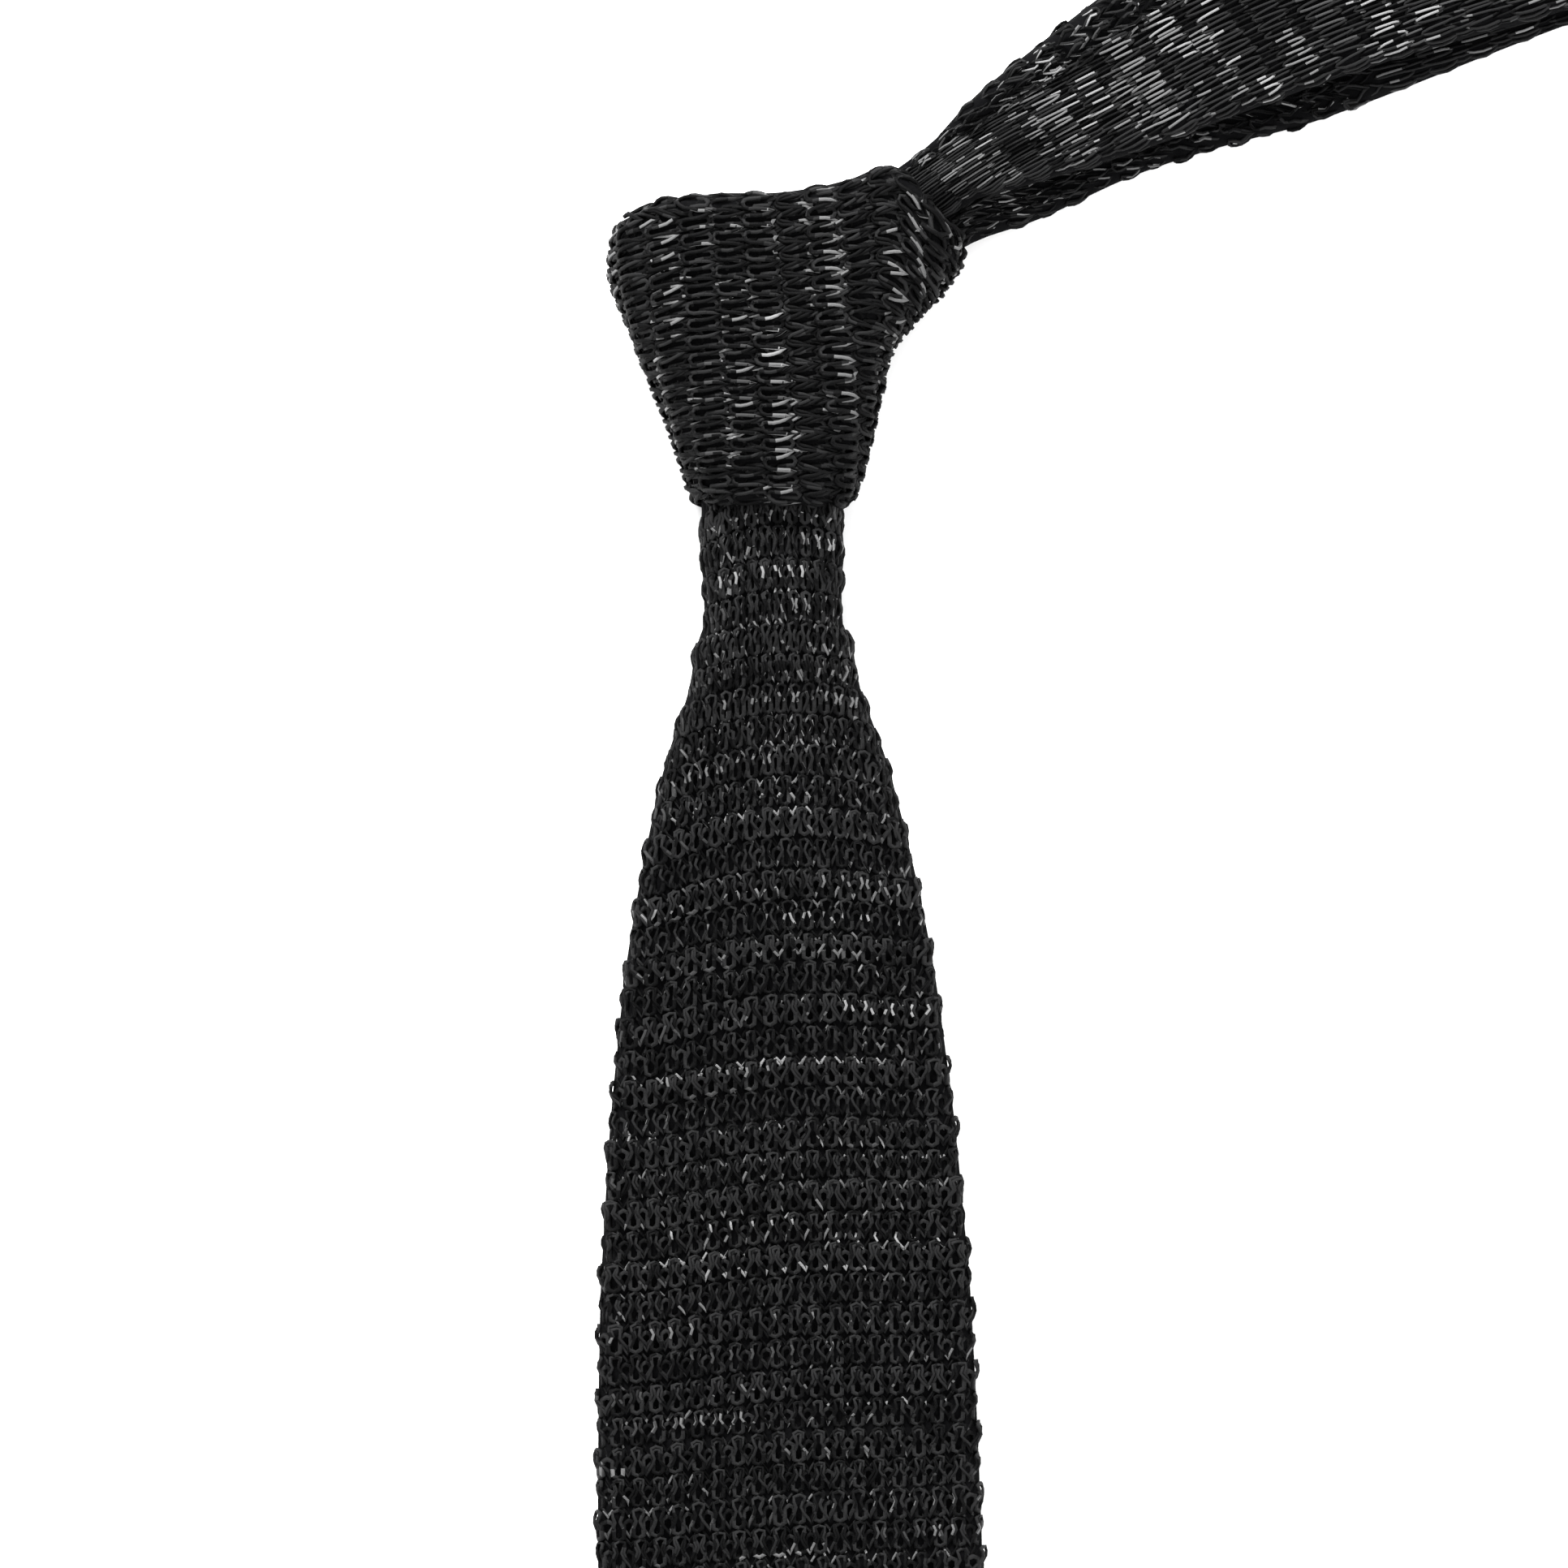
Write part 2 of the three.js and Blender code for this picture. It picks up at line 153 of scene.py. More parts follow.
class Band:
    """A flattened tube along stations (x, y, z, width, thickness). Its across direction lies level."""

    SAMPLES = 900
    SMOOTH = 20  # samples on either side that are averaged, so that the path has no corners

    def __init__(self, stations, pleats=None):
        table = np.array(stations, float)
        step = np.linalg.norm(np.diff(table[:, :3], axis=0), axis=1)
        knots = np.concatenate([[0], np.cumsum(step)])
        self.length = knots[-1]
        self.l = np.linspace(0, self.length, self.SAMPLES)
        self.table = np.stack([curve(knots, table[:, i], self.l) for i in range(5)], 1)
        for i in range(3):
            self.table[:, i] = smoothed(self.table[:, i], self.SMOOTH)
        self.tangent = unit(np.gradient(self.table[:, :3], self.l, axis=0))
        self.across = unit(np.cross(self.tangent, [0, 0, 1]))
        self.pleats = pleats

    def steer(self, across):
        """Sets the across direction at every sample, for a band that folds over on itself."""
        self.across = unit(across - (across * self.tangent).sum(1, keepdims=True) * self.tangent)

    def read(self, values, v):
        return np.stack([np.interp(v, self.l, values[:, i]) for i in range(3)], -1)

    def width(self, v):
        return np.interp(v, self.l, self.table[:, 3])

    def half_round(self, v):
        """Half the way round the outside of the tube at v."""
        thick = np.interp(v, self.l, self.table[:, 4])
        return self.width(v) - thick + np.pi * thick / 2

    def place(self, s, v, out):
        centre = self.read(self.table, v)
        across = unit(self.read(self.across, v))
        normal = unit(np.cross(across, self.read(self.tangent, v)))
        x, z, nx, nz = tube_section(s, self.width(v), np.interp(v, self.l, self.table[:, 4]))
        if self.pleats:
            z = z + self.pleats(x, v)
        return centre + across * (x + nx * out)[..., None] + normal * (z + nz * out)[..., None]


class Wrap:
    """The front wrap of the knot: rows of wales that cross its face and roll down its sides."""

    # The face's sides as (y, x) and its top and foot as (x, y), measured in the photograph.
    LEFT = [(-26.5, -5.4), (-24.0, -7.8), (-22.0, -10.3), (-18.0, -11.5), (-8.5, -15.0), (2.5, -19.2),
            (13.0, -22.8), (17.0, -22.6), (19.6, -20.4), (22.0, -15.0)]
    RIGHT = [(-26.5, 7.2), (-24.0, 9.6), (-22.0, 10.7), (-17.0, 12.3), (-8.0, 14.4), (0.4, 16.4),
             (6.8, 21.2), (11.0, 25.2), (14.2, 27.4), (16.2, 27.8), (20.5, 24.6), (30.0, 21.4)]
    TOP = [(-30.0, 5.0), (-25.8, 13.5), (-24.3, 17.2), (-20.6, 20.4), (-14.0, 22.3), (-7.5, 23.2),
           (-0.6, 23.2), (6.0, 23.9), (12.3, 25.4), (18.4, 27.6), (20.6, 26.7), (22.6, 23.6),
           (26.8, 19.6), (30.9, 14.4), (40.0, 3.0)]
    FOOT = [(-30.0, -25.4), (-12.0, -23.9), (11.0, -23.9), (14.0, -24.8), (18.0, -28.0), (24.0, -34.0),
            (40.0, -51.0)]
    ROLL, UNDER = 7.5, 3.0  # radii of the turns down the sides and under the knot
    FLOOR = 2.0  # height of the cloth under the knot
    WIDTH, THICK = 49.0, 3.8

    def __init__(self):
        self.g = np.linspace(-0.02, 1.02, 61)
        self.v = np.linspace(-52, 56, 540)
        x = np.linspace(-29.5, 39.0, 1400)
        rows, limits = [], []
        for g in self.g:
            y = (1 - g) * curve(*zip(*self.FOOT), x) + g * curve(*zip(*self.TOP), x)
            length = np.concatenate([[0], np.cumsum(np.hypot(np.diff(x), np.diff(y)))])
            middle = np.searchsorted(x, 0)
            inside_left = x[:middle] > curve(*zip(*self.LEFT), y[:middle])
            inside_right = x[middle:] < curve(*zip(*self.RIGHT), y[middle:])
            left = length[np.argmax(inside_left)]
            right = length[middle + np.argmin(inside_right)] if not inside_right.all() else length[-1]
            start = np.interp(-0.09 * np.interp(0, x, y), x, length)
            rows.append(self.rolled(x, y, length, left, right, start + self.v))
            round_side = (self.ROLL + self.UNDER) * np.pi / 2 + 6.0
            tuck = min(5.0, 0.25 * (right - left))
            # The upper rows stop short, or they would stand out behind the knot's corners.
            left_tuck, right_tuck = tuck - 6 * ramp(g, 0.75, 1.0), tuck - 8 * ramp(g, 0.65, 0.95)
            limits.append((left + self.ROLL - round_side - left_tuck - start,
                           right - self.ROLL + round_side + right_tuck - start))
        self.grid, self.limits = np.array(rows), np.array(limits)

    def rolled(self, x, y, length, left, right, l):
        """The row's middle surface at arc lengths l: level on the face, then down and under the sides."""
        flat = np.clip(l, left + self.ROLL, right - self.ROLL)
        past = np.abs(l - flat)
        side = np.sign(l - flat)
        top = self.dome(np.interp(flat, length, x), np.interp(flat, length, y))
        wall = top - self.ROLL - self.UNDER - self.FLOOR
        turn = np.clip(past / self.ROLL, 0, np.pi / 2)
        down = np.clip(past - self.ROLL * np.pi / 2, 0, wall)
        under = np.clip((past - self.ROLL * np.pi / 2 - wall) / self.UNDER, 0, np.pi / 2)
        in_under = np.maximum(past - (self.ROLL + self.UNDER) * np.pi / 2 - wall, 0)
        reach = self.ROLL * np.sin(turn) - self.UNDER * (1 - np.cos(under)) - in_under
        z = top - self.ROLL * (1 - np.cos(turn)) - down - self.UNDER * np.sin(under)
        at = flat + side * reach
        return np.stack([np.interp(at, length, x), np.interp(at, length, y), z], -1)

    @staticmethod
    def dome(x, y):
        """Height of the wrap's middle: full in the centre, pressed in at the mouth and towards the neck."""
        return (18.9 + 1.6 * np.exp(-(((x + 2) / 17) ** 2) - ((y - 4) / 17) ** 2)
                - 1.2 * ramp(-y, 14, 25) - 1.5 * ramp(x + 0.4 * y, 18, 34))

    def middle(self, g, v):
        """The middle surface at wale share g (0 at the foot, 1 at the top) and arc length v."""
        gi = np.clip((g - self.g[0]) / (self.g[1] - self.g[0]), 0, len(self.g) - 1.001)
        vi = np.clip((v - self.v[0]) / (self.v[1] - self.v[0]), 0, len(self.v) - 1.001)
        i, j = gi.astype(int), vi.astype(int)
        a, b = (gi - i)[..., None], (vi - j)[..., None]
        grid = self.grid
        return ((1 - a) * (1 - b) * grid[i, j] + a * (1 - b) * grid[i + 1, j]
                + (1 - a) * b * grid[i, j + 1] + a * b * grid[i + 1, j + 1])

    def ends(self, s):
        """Where each wale stops under the knot, at either side."""
        g = np.clip(0.5 + tube_section(s, np.full_like(s, self.WIDTH), self.THICK)[0] / self.WIDTH, 0, 1)
        return np.interp(g, self.g, self.limits[:, 0]), np.interp(g, self.g, self.limits[:, 1])

    def half_round(self, v):
        return np.full_like(np.asarray(v, float), self.WIDTH - self.THICK + np.pi * self.THICK / 2)

    def place(self, s, v, out):
        x, z, nx, nz = tube_section(s, np.full_like(v, self.WIDTH), self.THICK)
        g = np.clip(0.5 + x / self.WIDTH, 0, 1)
        across = unit(self.middle(np.minimum(g + 0.03, 1), v) - self.middle(np.maximum(g - 0.03, 0), v))
        along = unit(self.middle(g, v + 1.0) - self.middle(g, v - 1.0))
        normal = unit(np.cross(along, across))
        return self.middle(g, v) + across * (nx * out)[..., None] + normal * (z + nz * out)[..., None]


# ---------------- meshes


def place_object(name, data):
    ob = bpy.data.objects.new(name, data)
    bpy.context.scene.collection.objects.link(ob)
    return ob


def make_object(name, verts, faces, materials, slots=None):
    """A smooth-shaded object from points in millimetres and an array of quads, or a closed mesh's faces."""
    mesh = bpy.data.meshes.new(name)
    if isinstance(faces, list):
        mesh.from_pydata((np.asarray(verts) * MM).tolist(), [], [list(map(int, f)) for f in faces])
    else:
        mesh.vertices.add(len(verts))
        mesh.vertices.foreach_set("co", (np.asarray(verts, np.float32) * MM).ravel())
        mesh.loops.add(faces.size)
        mesh.loops.foreach_set("vertex_index", faces.astype(np.int32).ravel())
        mesh.polygons.add(len(faces))
        mesh.polygons.foreach_set("loop_start", np.arange(0, faces.size, faces.shape[1], dtype=np.int32))
        mesh.polygons.foreach_set("loop_total", np.full(len(faces), faces.shape[1], np.int32))
    for material in materials:
        mesh.materials.append(material)
    if slots is not None:
        mesh.polygons.foreach_set("material_index", np.asarray(slots, np.int32))
    mesh.polygons.foreach_set("use_smooth", np.full(len(mesh.polygons), True))
    mesh.update(calc_edges=True)
    mesh.validate()
    if isinstance(faces, list):
        face_outward(mesh)
    return place_object(name, mesh)


def face_outward(mesh):
    """Turns a closed mesh's faces outward: its signed volume is then positive."""
    mesh.calc_loop_triangles()
    co = np.empty(len(mesh.vertices) * 3)
    mesh.vertices.foreach_get("co", co)
    tri = np.empty(len(mesh.loop_triangles) * 3, np.int32)
    mesh.loop_triangles.foreach_get("vertices", tri)
    p = co.reshape(-1, 3)[tri.reshape(-1, 3)]
    if (p[:, 0] * np.cross(p[:, 1], p[:, 2])).sum() < 0:
        mesh.flip_normals()


def tube_faces(rings, sides):
    """The faces of a closed tube, whose points go ring by ring."""
    faces = [(i * sides + a, (i + 1) * sides + a, (i + 1) * sides + (a + 1) % sides,
              i * sides + (a + 1) % sides) for i in range(rings - 1) for a in range(sides)]
    return faces + [tuple(range(sides)), tuple((rings - 1) * sides + a for a in range(sides))[::-1]]


def cloth_body(name, stretch, v0, v1, steps, sides=56, sink=0.45):
    """The dark body of the cloth under its loops: a closed flattened tube from v0 to v1.

    It lies sink below the middle of the cloth, and bulges at the folded edges to fill the loops there.
    """
    v = np.linspace(v0, v1, steps + 1)[:, None] + np.zeros((1, sides))
    part = np.linspace(-1, 1, sides, endpoint=False)[None, :] + 0 * v
    s = part * stretch.half_round(v)
    from_edge = (np.abs(part) - 0.5) * stretch.half_round(v)
    bulge, bulge_width = 2.4, 1.8
    sink = sink * (1 - bulge * np.exp(-((from_edge / bulge_width) ** 2)))
    if hasattr(stretch, "ends"):
        first, last = stretch.ends(s)
        v = first + (last - first) * (v - v0) / (v1 - v0)
    verts = stretch.place(s, v, -sink).reshape(-1, 3)
    return make_object(name, verts, tube_faces(steps + 1, sides), [cloth_ground])


def marl(rows, wales, per_loop, second, plenty, *, runs=(2, 11), apart=(1, 6), both=0.6,
         long=(0.1, 0.14, 0.18), legs=(0.05, 0.06, 0.07, 0.24, 0.76, 0.93, 0.94, 0.95), v_shape=0.055,
         slant=0.006, loose=0.02, gaps=0.2, levels=(2, 2, 3, 3, 3, 4), light=1.0, marks=()):
    """Which colour each piece of a ply has: 0 and 1 charcoal, 2 grey, 3 and 4 pale flecks.

    A pale run keeps its place on the loop for several wales and drifts slowly, as dyed yarn does. Plenty is
    the share of runs that are dyed, both the share of those with flecks on both legs of a loop, and runs and
    apart their length and spacing in wales. Long, legs, slant and loose are the length, place, drift and
    jitter of a fleck, in loops, gaps the share left out, and levels the colours. Light scales the share of
    the lighter charcoal. Each mark is (row, first wale, last wale, level) of a run that is always there, at
    v_shape from the foot on both legs. A second ply takes only the marks of level 4.
    """
    # Painted shade: the sunk rows take less of the lighter charcoal than the raised ones, so they read
    # darker.
    light = light * np.array(ROW_MARL_AND_PAINTED_SHADE)[rows % len(ROW_MARL_AND_PAINTED_SHADE)][:, None, None]
    halves = (rng.random((len(rows), len(wales), (per_loop + 1) // 2)) < light).astype(int)
    colour = np.repeat(halves, 2, axis=2)[:, :, :per_loop]

    def dye(row, n, at, level):
        if rng.random() >= gaps:
            first = (at + rng.normal(0, loose)) * per_loop
            length = per_loop * rng.choice(long)
            low, high = int(round(first - length / 2)), int(round(first + length / 2))
            colour[row, n, np.arange(low, max(high, low + 1)) % per_loop] = level

    for row in range(len(rows)):
        k = int(rng.integers(0, 8))
        while k < len(wales):
            run = int(rng.integers(*runs))
            if rng.random() < plenty:
                leg = rng.choice(legs) + rng.normal(0, 0.02)
                drift, level = rng.normal(0, slant), rng.choice(levels)
                pair = rng.random() < both
                for n in range(k, min(k + run, len(wales))):
                    for at in (leg, 1 - leg) if pair else (leg,):
                        dye(row, n, at + drift * (n - k), level)
            k += run + int(rng.integers(*apart))
    for row, first, last, level in marks:
        if rows[0] <= row <= rows[-1] and (level == 4 or not second):
            for n in range(max(first, wales[0]), min(last, wales[-1]) + 1):
                for at in (v_shape, 1 - v_shape):
                    dye(row - rows[0], n - wales[0], at, level)
    return colour.reshape(len(rows), len(wales) * per_loop)


def wander(rows, wales, per_loop, size):
    """A slow random shift along each row, the same for every part of one loop."""
    knots = rng.normal(0, size, (rows, wales + 1))
    at = np.arange(wales * per_loop + 1) / per_loop
    i = np.minimum(at.astype(int), wales - 1)
    t = ramp(at - i, 0, 1)
    return knots[:, i] * (1 - t) + knots[:, i + 1] * t


def loops(stretch, rows, wales, course, v0, pitch, *, plies=2, ply=0.25, per_loop=12, sides=4, way=1,
          tall=0.66, deep=0.3, swing=RING, tip=TIP, feet=ROW_FOOT, shift=None, ridge=0.5, lift=0.0,
          loose=0.1, thicken=None, fleck=SPARSE):
    """Knitted loops as (points, faces, colours): each row is one yarn of twisted plies.

    Rows and wales are ranges, course and pitch the height and width of a loop, v0 the place of row 0, and
    way is +1 where the loops grow along v. Ply is a ply's radius and tall the loop's reach in courses. Deep
    is the rise and fall where yarns cross, ridge that of the rows, and lift raises the whole. Pitch and
    ridge can be functions of v. Shift moves the rows along v, and thicken scales the yarn.
    """
    rows, count = np.asarray(list(rows)), len(wales)
    n = count * per_loop + 1
    q = np.arange(n)[None, :] / per_loop
    turn = 2 * np.pi * (q % 1)
    k = wales[0] + q + sum(size * np.sin((i + 1) * turn) for i, size in enumerate(swing))
    k = k + wander(len(rows), count, per_loop, loose * 0.4)
    kind = rows % len(RIDGE_HEIGHTS)
    reach = tall * np.array(ROW_REACH)[kind][:, None]
    v_row = v0 + rows[:, None] * course + np.zeros_like(q)
    point = tip * np.exp(-(((q + 0.5) % 1 - 0.5) / 0.08) ** 2)
    v = v_row - way * reach * course * (np.cos(turn) + point) + wander(len(rows), count, per_loop, loose)
    s = k * (pitch(v_row) if callable(pitch) else pitch)
    keep = np.abs(s) < stretch.half_round(v_row)
    if hasattr(stretch, "ends"):
        first, last = stretch.ends(s)
        keep &= (v > first) & (v < last)
    if shift is not None:
        v = v + shift(s, v_row)
    stout = (thicken(v) if thicken else 1.0) * np.array(ROW_STOUT)[kind][:, None] * np.ones_like(s)
    ridge = ridge(v_row) if callable(ridge) else ridge
    height, foot = np.array(RIDGE_HEIGHTS)[kind][:, None], np.array(feet)[kind][:, None]
    out = (lift - deep * np.cos(2 * turn) + ridge * (foot * np.cos(turn) + height) * stout
           + wander(len(rows), count, per_loop, 0.1))
    centre = stretch.place(s, v, out)
    centre[..., 2] = np.maximum(centre[..., 2], TABLE_GAP)
    normal = unit(stretch.place(s, v, out + 0.6) - centre)
    along = unit(np.gradient(centre, axis=1))
    side = unit(np.cross(along, normal))
    normal = np.cross(side, along)
    parts, base = [], 0
    angle = np.arange(sides) * 2 * np.pi / sides + np.pi / 4
    for p in range(plies):
        twist = np.pi * p + 2 * np.pi * (q + rng.random((len(rows), 1)))
        off = 0 if plies == 1 else ply * stout[..., None]
        axis = centre + off * (np.cos(twist)[..., None] * side + 0.5 * np.sin(twist)[..., None] * normal)
        size = (ply * stout)[:, :, None, None]
        rings = (axis[:, :, None, :] + size * (np.cos(angle)[None, None, :, None] * side[:, :, None, :]
                 + np.sin(angle)[None, None, :, None] * normal[:, :, None, :]))
        index = base + np.arange(len(rows) * n * sides).reshape(len(rows), n, sides)
        here, after = index[:, :-1], index[:, 1:]
        quads = np.stack([here, np.roll(here, -1, 2), np.roll(after, -1, 2), after], -1)
        alive = (keep[:, :-1] & keep[:, 1:])[:, :, None] & np.ones((1, 1, sides), bool)
        shade = marl(rows, wales, per_loop, p > 0, **fleck)[:, :, None] + np.zeros((1, 1, sides), int)
        shade[:, :, 1:] = np.minimum(shade[:, :, 1:], 2)  # a pale fleck is one side of its ply
        parts.append((rings.reshape(-1, 3), quads[alive], shade[alive]))
        base += index.size
    return tuple(np.concatenate(group) for group in zip(*parts))


def stitches(name, *batches):
    """One object from several batches of loops."""
    starts = np.cumsum([0] + [len(batch[0]) for batch in batches[:-1]])
    verts = np.concatenate([batch[0] for batch in batches])
    faces = np.concatenate([batch[1] + start for batch, start in zip(batches, starts)])
    slots = np.concatenate([batch[2] for batch in batches])
    used = np.zeros(len(verts), bool)
    used[faces.ravel()] = True
    renumber = np.cumsum(used) - 1
    return make_object(name, verts[used], renumber[faces], yarn_materials, slots)


# ---------------- materials


def set_inputs(node, values):
    """Sets a shader node's inputs by their names."""
    for name, value in values.items():
        node.inputs[name].default_value = value
    return node


def new_material(name, colour, rough, specular=0.04):
    """A matt material of one colour."""
    mat = bpy.data.materials.new(name)
    mat.use_nodes = True
    set_inputs(mat.node_tree.nodes["Principled BSDF"],
               {"Base Color": (*colour, 1), "Roughness": rough, "Specular IOR Level": specular})
    mat.diffuse_color = (*colour, 1)
    return mat


def add_noise(mat, scale, detail, stretch=(1.0, 1.0, 1.0)):
    """Fine noise over the object, which can be stretched along threads."""
    nodes, links = mat.node_tree.nodes, mat.node_tree.links
    stretched = set_inputs(nodes.new("ShaderNodeMapping"), {"Scale": stretch})
    noise = set_inputs(nodes.new("ShaderNodeTexNoise"), {"Scale": scale, "Detail": detail})
    links.new(nodes.new("ShaderNodeTexCoord").outputs["Object"], stretched.inputs["Vector"])
    links.new(stretched.outputs["Vector"], noise.inputs["Vector"])
    return noise


def yarn_material(name, colour, rough, specular=0.04):
    """A dyed ply: its fibres are a fine relief of noise."""
    mat = new_material(name, colour, rough, specular)
    nodes, links = mat.node_tree.nodes, mat.node_tree.links
    relief = set_inputs(nodes.new("ShaderNodeDisplacement"), {"Scale": 0.00012, "Midlevel": 0.5})
    links.new(add_noise(mat, 5200, 3).outputs["Fac"], relief.inputs["Height"])
    links.new(relief.outputs["Displacement"], nodes["Material Output"].inputs["Displacement"])
    return mat


def mottle(mat, noise, dark, light, distance, strength):
    """Gives a material a mottled shade and relief, both from one noise."""
    nodes, links = mat.node_tree.nodes, mat.node_tree.links
    shader = nodes["Principled BSDF"]
    shade = nodes.new("ShaderNodeValToRGB")
    shade.color_ramp.elements[0].color = (*dark, 1)
    shade.color_ramp.elements[1].color = (*light, 1)
    bump = set_inputs(nodes.new("ShaderNodeBump"), {"Distance": distance, "Strength": strength})
    links.new(noise.outputs["Fac"], shade.inputs["Fac"])
    links.new(shade.outputs["Color"], shader.inputs["Base Color"])
    links.new(noise.outputs["Fac"], bump.inputs["Height"])
    links.new(bump.outputs["Normal"], shader.inputs["Normal"])


def ground_material():
    """The inside of the knit, seen only in the gaps: its charcoal darkened to near black as painted shade, so
    that the gaps read black, with a mottled pile.
    """
    mat = new_material("knit_ground", (0.004, 0.004, 0.0045), 0.95)
    pile = add_noise(mat, 900, 4)
    mottle(mat, pile, (0.0008, 0.0008, 0.0010), (0.0035, 0.0035, 0.0038), 0.0003, 0.7)
    return mat


def ribbon_material():
    """Black ribbon: satin ribs with darker weft between them."""
    mat = new_material("ribbon_black", (0.006, 0.006, 0.0066), 0.5, specular=0.15)
    nodes, links = mat.node_tree.nodes, mat.node_tree.links
    fibre = add_noise(mat, 1400, 4, stretch=(0.25, 3.0, 1.0))
    mottle(mat, fibre, (0.003, 0.003, 0.0034), (0.011, 0.011, 0.012), 0.00005, 0.6)
    rough = set_inputs(nodes.new("ShaderNodeMapRange"), {"To Min": 0.38, "To Max": 0.62})
    links.new(fibre.outputs["Fac"], rough.inputs["Value"])
    links.new(rough.outputs["Result"], nodes["Principled BSDF"].inputs["Roughness"])
    return mat


cloth_ground = ground_material()
ribbon_black = ribbon_material()
yarn_materials = [
    # The lighter charcoal is marl yarn and also painted light: a painted highlight on loops, laid mostly on
    # the raised rows.
    yarn_material("yarn_charcoal", (0.0023, 0.0023, 0.0024), 0.6),
    yarn_material("yarn_soft_black", (0.0108, 0.0108, 0.011), 0.6),
    yarn_material("yarn_grey", (0.033, 0.033, 0.0333), 0.6),
    yarn_material("yarn_silver", (0.095, 0.095, 0.0955), 0.55),
    yarn_material("yarn_pale", (0.17, 0.17, 0.1706), 0.55),
]
thread_black = yarn_material("thread_black", (0.006, 0.006, 0.0062), 0.45, specular=0.25)
thread_materials = [*yarn_materials[:3], thread_black]


# ---------------- the camera, floor and light


def build_stage():
    """A pale floor under a white world, with a soft key light from above the knot and a weak fill."""
    floor_mesh = bpy.data.meshes.new("floor")
    floor_mesh.from_pydata([(-3, -3, 0), (3, -3, 0), (3, 3, 0), (-3, 3, 0)], [], [(0, 1, 2, 3)])
    floor = place_object("floor", floor_mesh)
    floor.location.z = -0.0001  # just below the tie
    floor_mesh.materials.append(new_material("floor_white", (0.93, 0.93, 0.93), 0.9))

    world = bpy.data.worlds.new("studio")
    world.use_nodes = True
    set_inputs(world.node_tree.nodes["Background"], {"Color": (1, 1, 1, 1), "Strength": 1.6})
    bpy.context.scene.world = world

    for name, place, size, power in (
        ("key", (-0.35, 1.35, 0.95), 0.6, 90),
        ("fill", (0.9, -0.7, 1.4), 1.2, 14),
    ):
        light = bpy.data.lights.new(name, "AREA")
        light.size, light.energy = size, power
        lamp = place_object(name, light)
        lamp.location = place
        aim = np.array([0, -0.07, 0]) - np.array(place)
        lamp.rotation_euler = Vector(aim).to_track_quat("-Z", "Y").to_euler()


def build_camera():
    """Straight above the knot and the upper blade, from far enough away to flatten the perspective."""
    lens = bpy.data.cameras.new("camera")
    lens.sensor_width = 36
    away, across = 1.5, 0.2446  # distance to the tie, and the width that the picture shows there
    lens.lens = lens.sensor_width * away / across
    lens.clip_start, lens.clip_end = 0.05, 20
    camera = place_object("camera", lens)
    camera.location = (0.0020, -0.0678, away + 0.010)
    bpy.context.scene.camera = camera


build_camera()
build_stage()
bpy.context.scene.view_settings.view_transform = "Standard"


# ---------------- the front blade


BLADE_END = -502.6
# Width of the blade at heights y, and the heights that its path goes through.
BLADE_EDGE = [(-20, 20.2), (-25, 20.4), (-28, 20.8), (-32, 21.2), (-37, 20.2), (-42, 20.2), (-46, 23.0),
              (-52, 25.0), (-56, 27.6), (-61, 30.8), (-66, 34.4), (-72, 37.2), (-84, 42.4), (-97, 47.0),
              (-110, 50.2), (-122, 52.8), (-135, 54.8), (-148, 56.6), (-173, 58.2), (-190, 58.8),
              (-300, 59.0), (-505, 59.0)]
BLADE_Y = (8, -8, -18, -25, -28, -32, -37, -42, -47, -52, -58, -64, -72, -84, -97, -110, -122, -135, -148,
           -173, -190, -220, -260, -300, -340, -370, -394, -400, -406, -412, -418, -424, -430, -450, -480,
           BLADE_END)
BLADE_PITCH = 3.13
FIRST_ROW_Y = -14.8
# The pale runs that stand out: row, first wale, last wale, level.
BLADE_FLECKS = [(33, 1, 6, 3), (38, -8, -5, 3), (39, -5, 6, 4), (41, -8, -3, 3), (43, -8, 2, 3),
                (45, -1, 7, 3), (51, -8, -3, 3), (51, 2, 9, 4)]
BLADE_FRONT, BLADE_BACK = range(-12, 12), (range(-21, -12), range(12, 21))  # wales round the tube
HALF_WALES = [wale + 0.5 for wale in BLADE_FRONT[:-1]]  # the reverse loops lie between the front ones


def blade_x(y):
    return LEAN * (MOUTH_Y - y)


def blade_station(y):
    """The blade lies over the tail, then comes down to the table beyond the tail's end."""
    under = 0.2 + 5.6 * ramp(y, -424, -394) + 3.1 * ramp(y, -58, -25) + 1.6 * ramp(y, -25, -12)
    thick = float(curve([-505, -148, -122, -97, -72, -58, -38, -25, -10, 10],
                        [4.0, 4.0, 4.3, 5.0, 6.2, 7.4, 8.2, 7.0, 4.2, 4.0], y))
    width = float(curve(*zip(*BLADE_EDGE[::-1]), y)) if y < -20 else 20.5
    return (blade_x(y), y, under + thick / 2, width, thick)


def length_at(band, y):
    """The length along a band that runs down the table to where it passes y."""
    return float(np.interp(-y, -band.table[:, 1], band.l))


blade = Band([blade_station(y) for y in BLADE_Y])
blade_start = length_at(blade, FIRST_ROW_Y)


def blade_shift(s, v):
    """Rows rise to the right round the tube, and bow up in the middle where the knot pulls them."""
    throat = np.exp(-np.maximum(v - length_at(blade, -30), 0) / 55)
    return 0.055 * s + 4.6 * throat * np.clip(np.abs(s) / 15, 0, 1.3) ** 2


def blade_pitch(v):
    """Wales crowd together where the knot gathers the blade into its throat."""
    return BLADE_PITCH * (0.66 + 0.34 * ramp(blade.width(v), 20, 50))


def blade_ridge(v):
    """The ridges are drawn flatter where the cloth is gathered."""
    return 0.58 + 0.22 * ramp(blade.width(v), 22, 48)


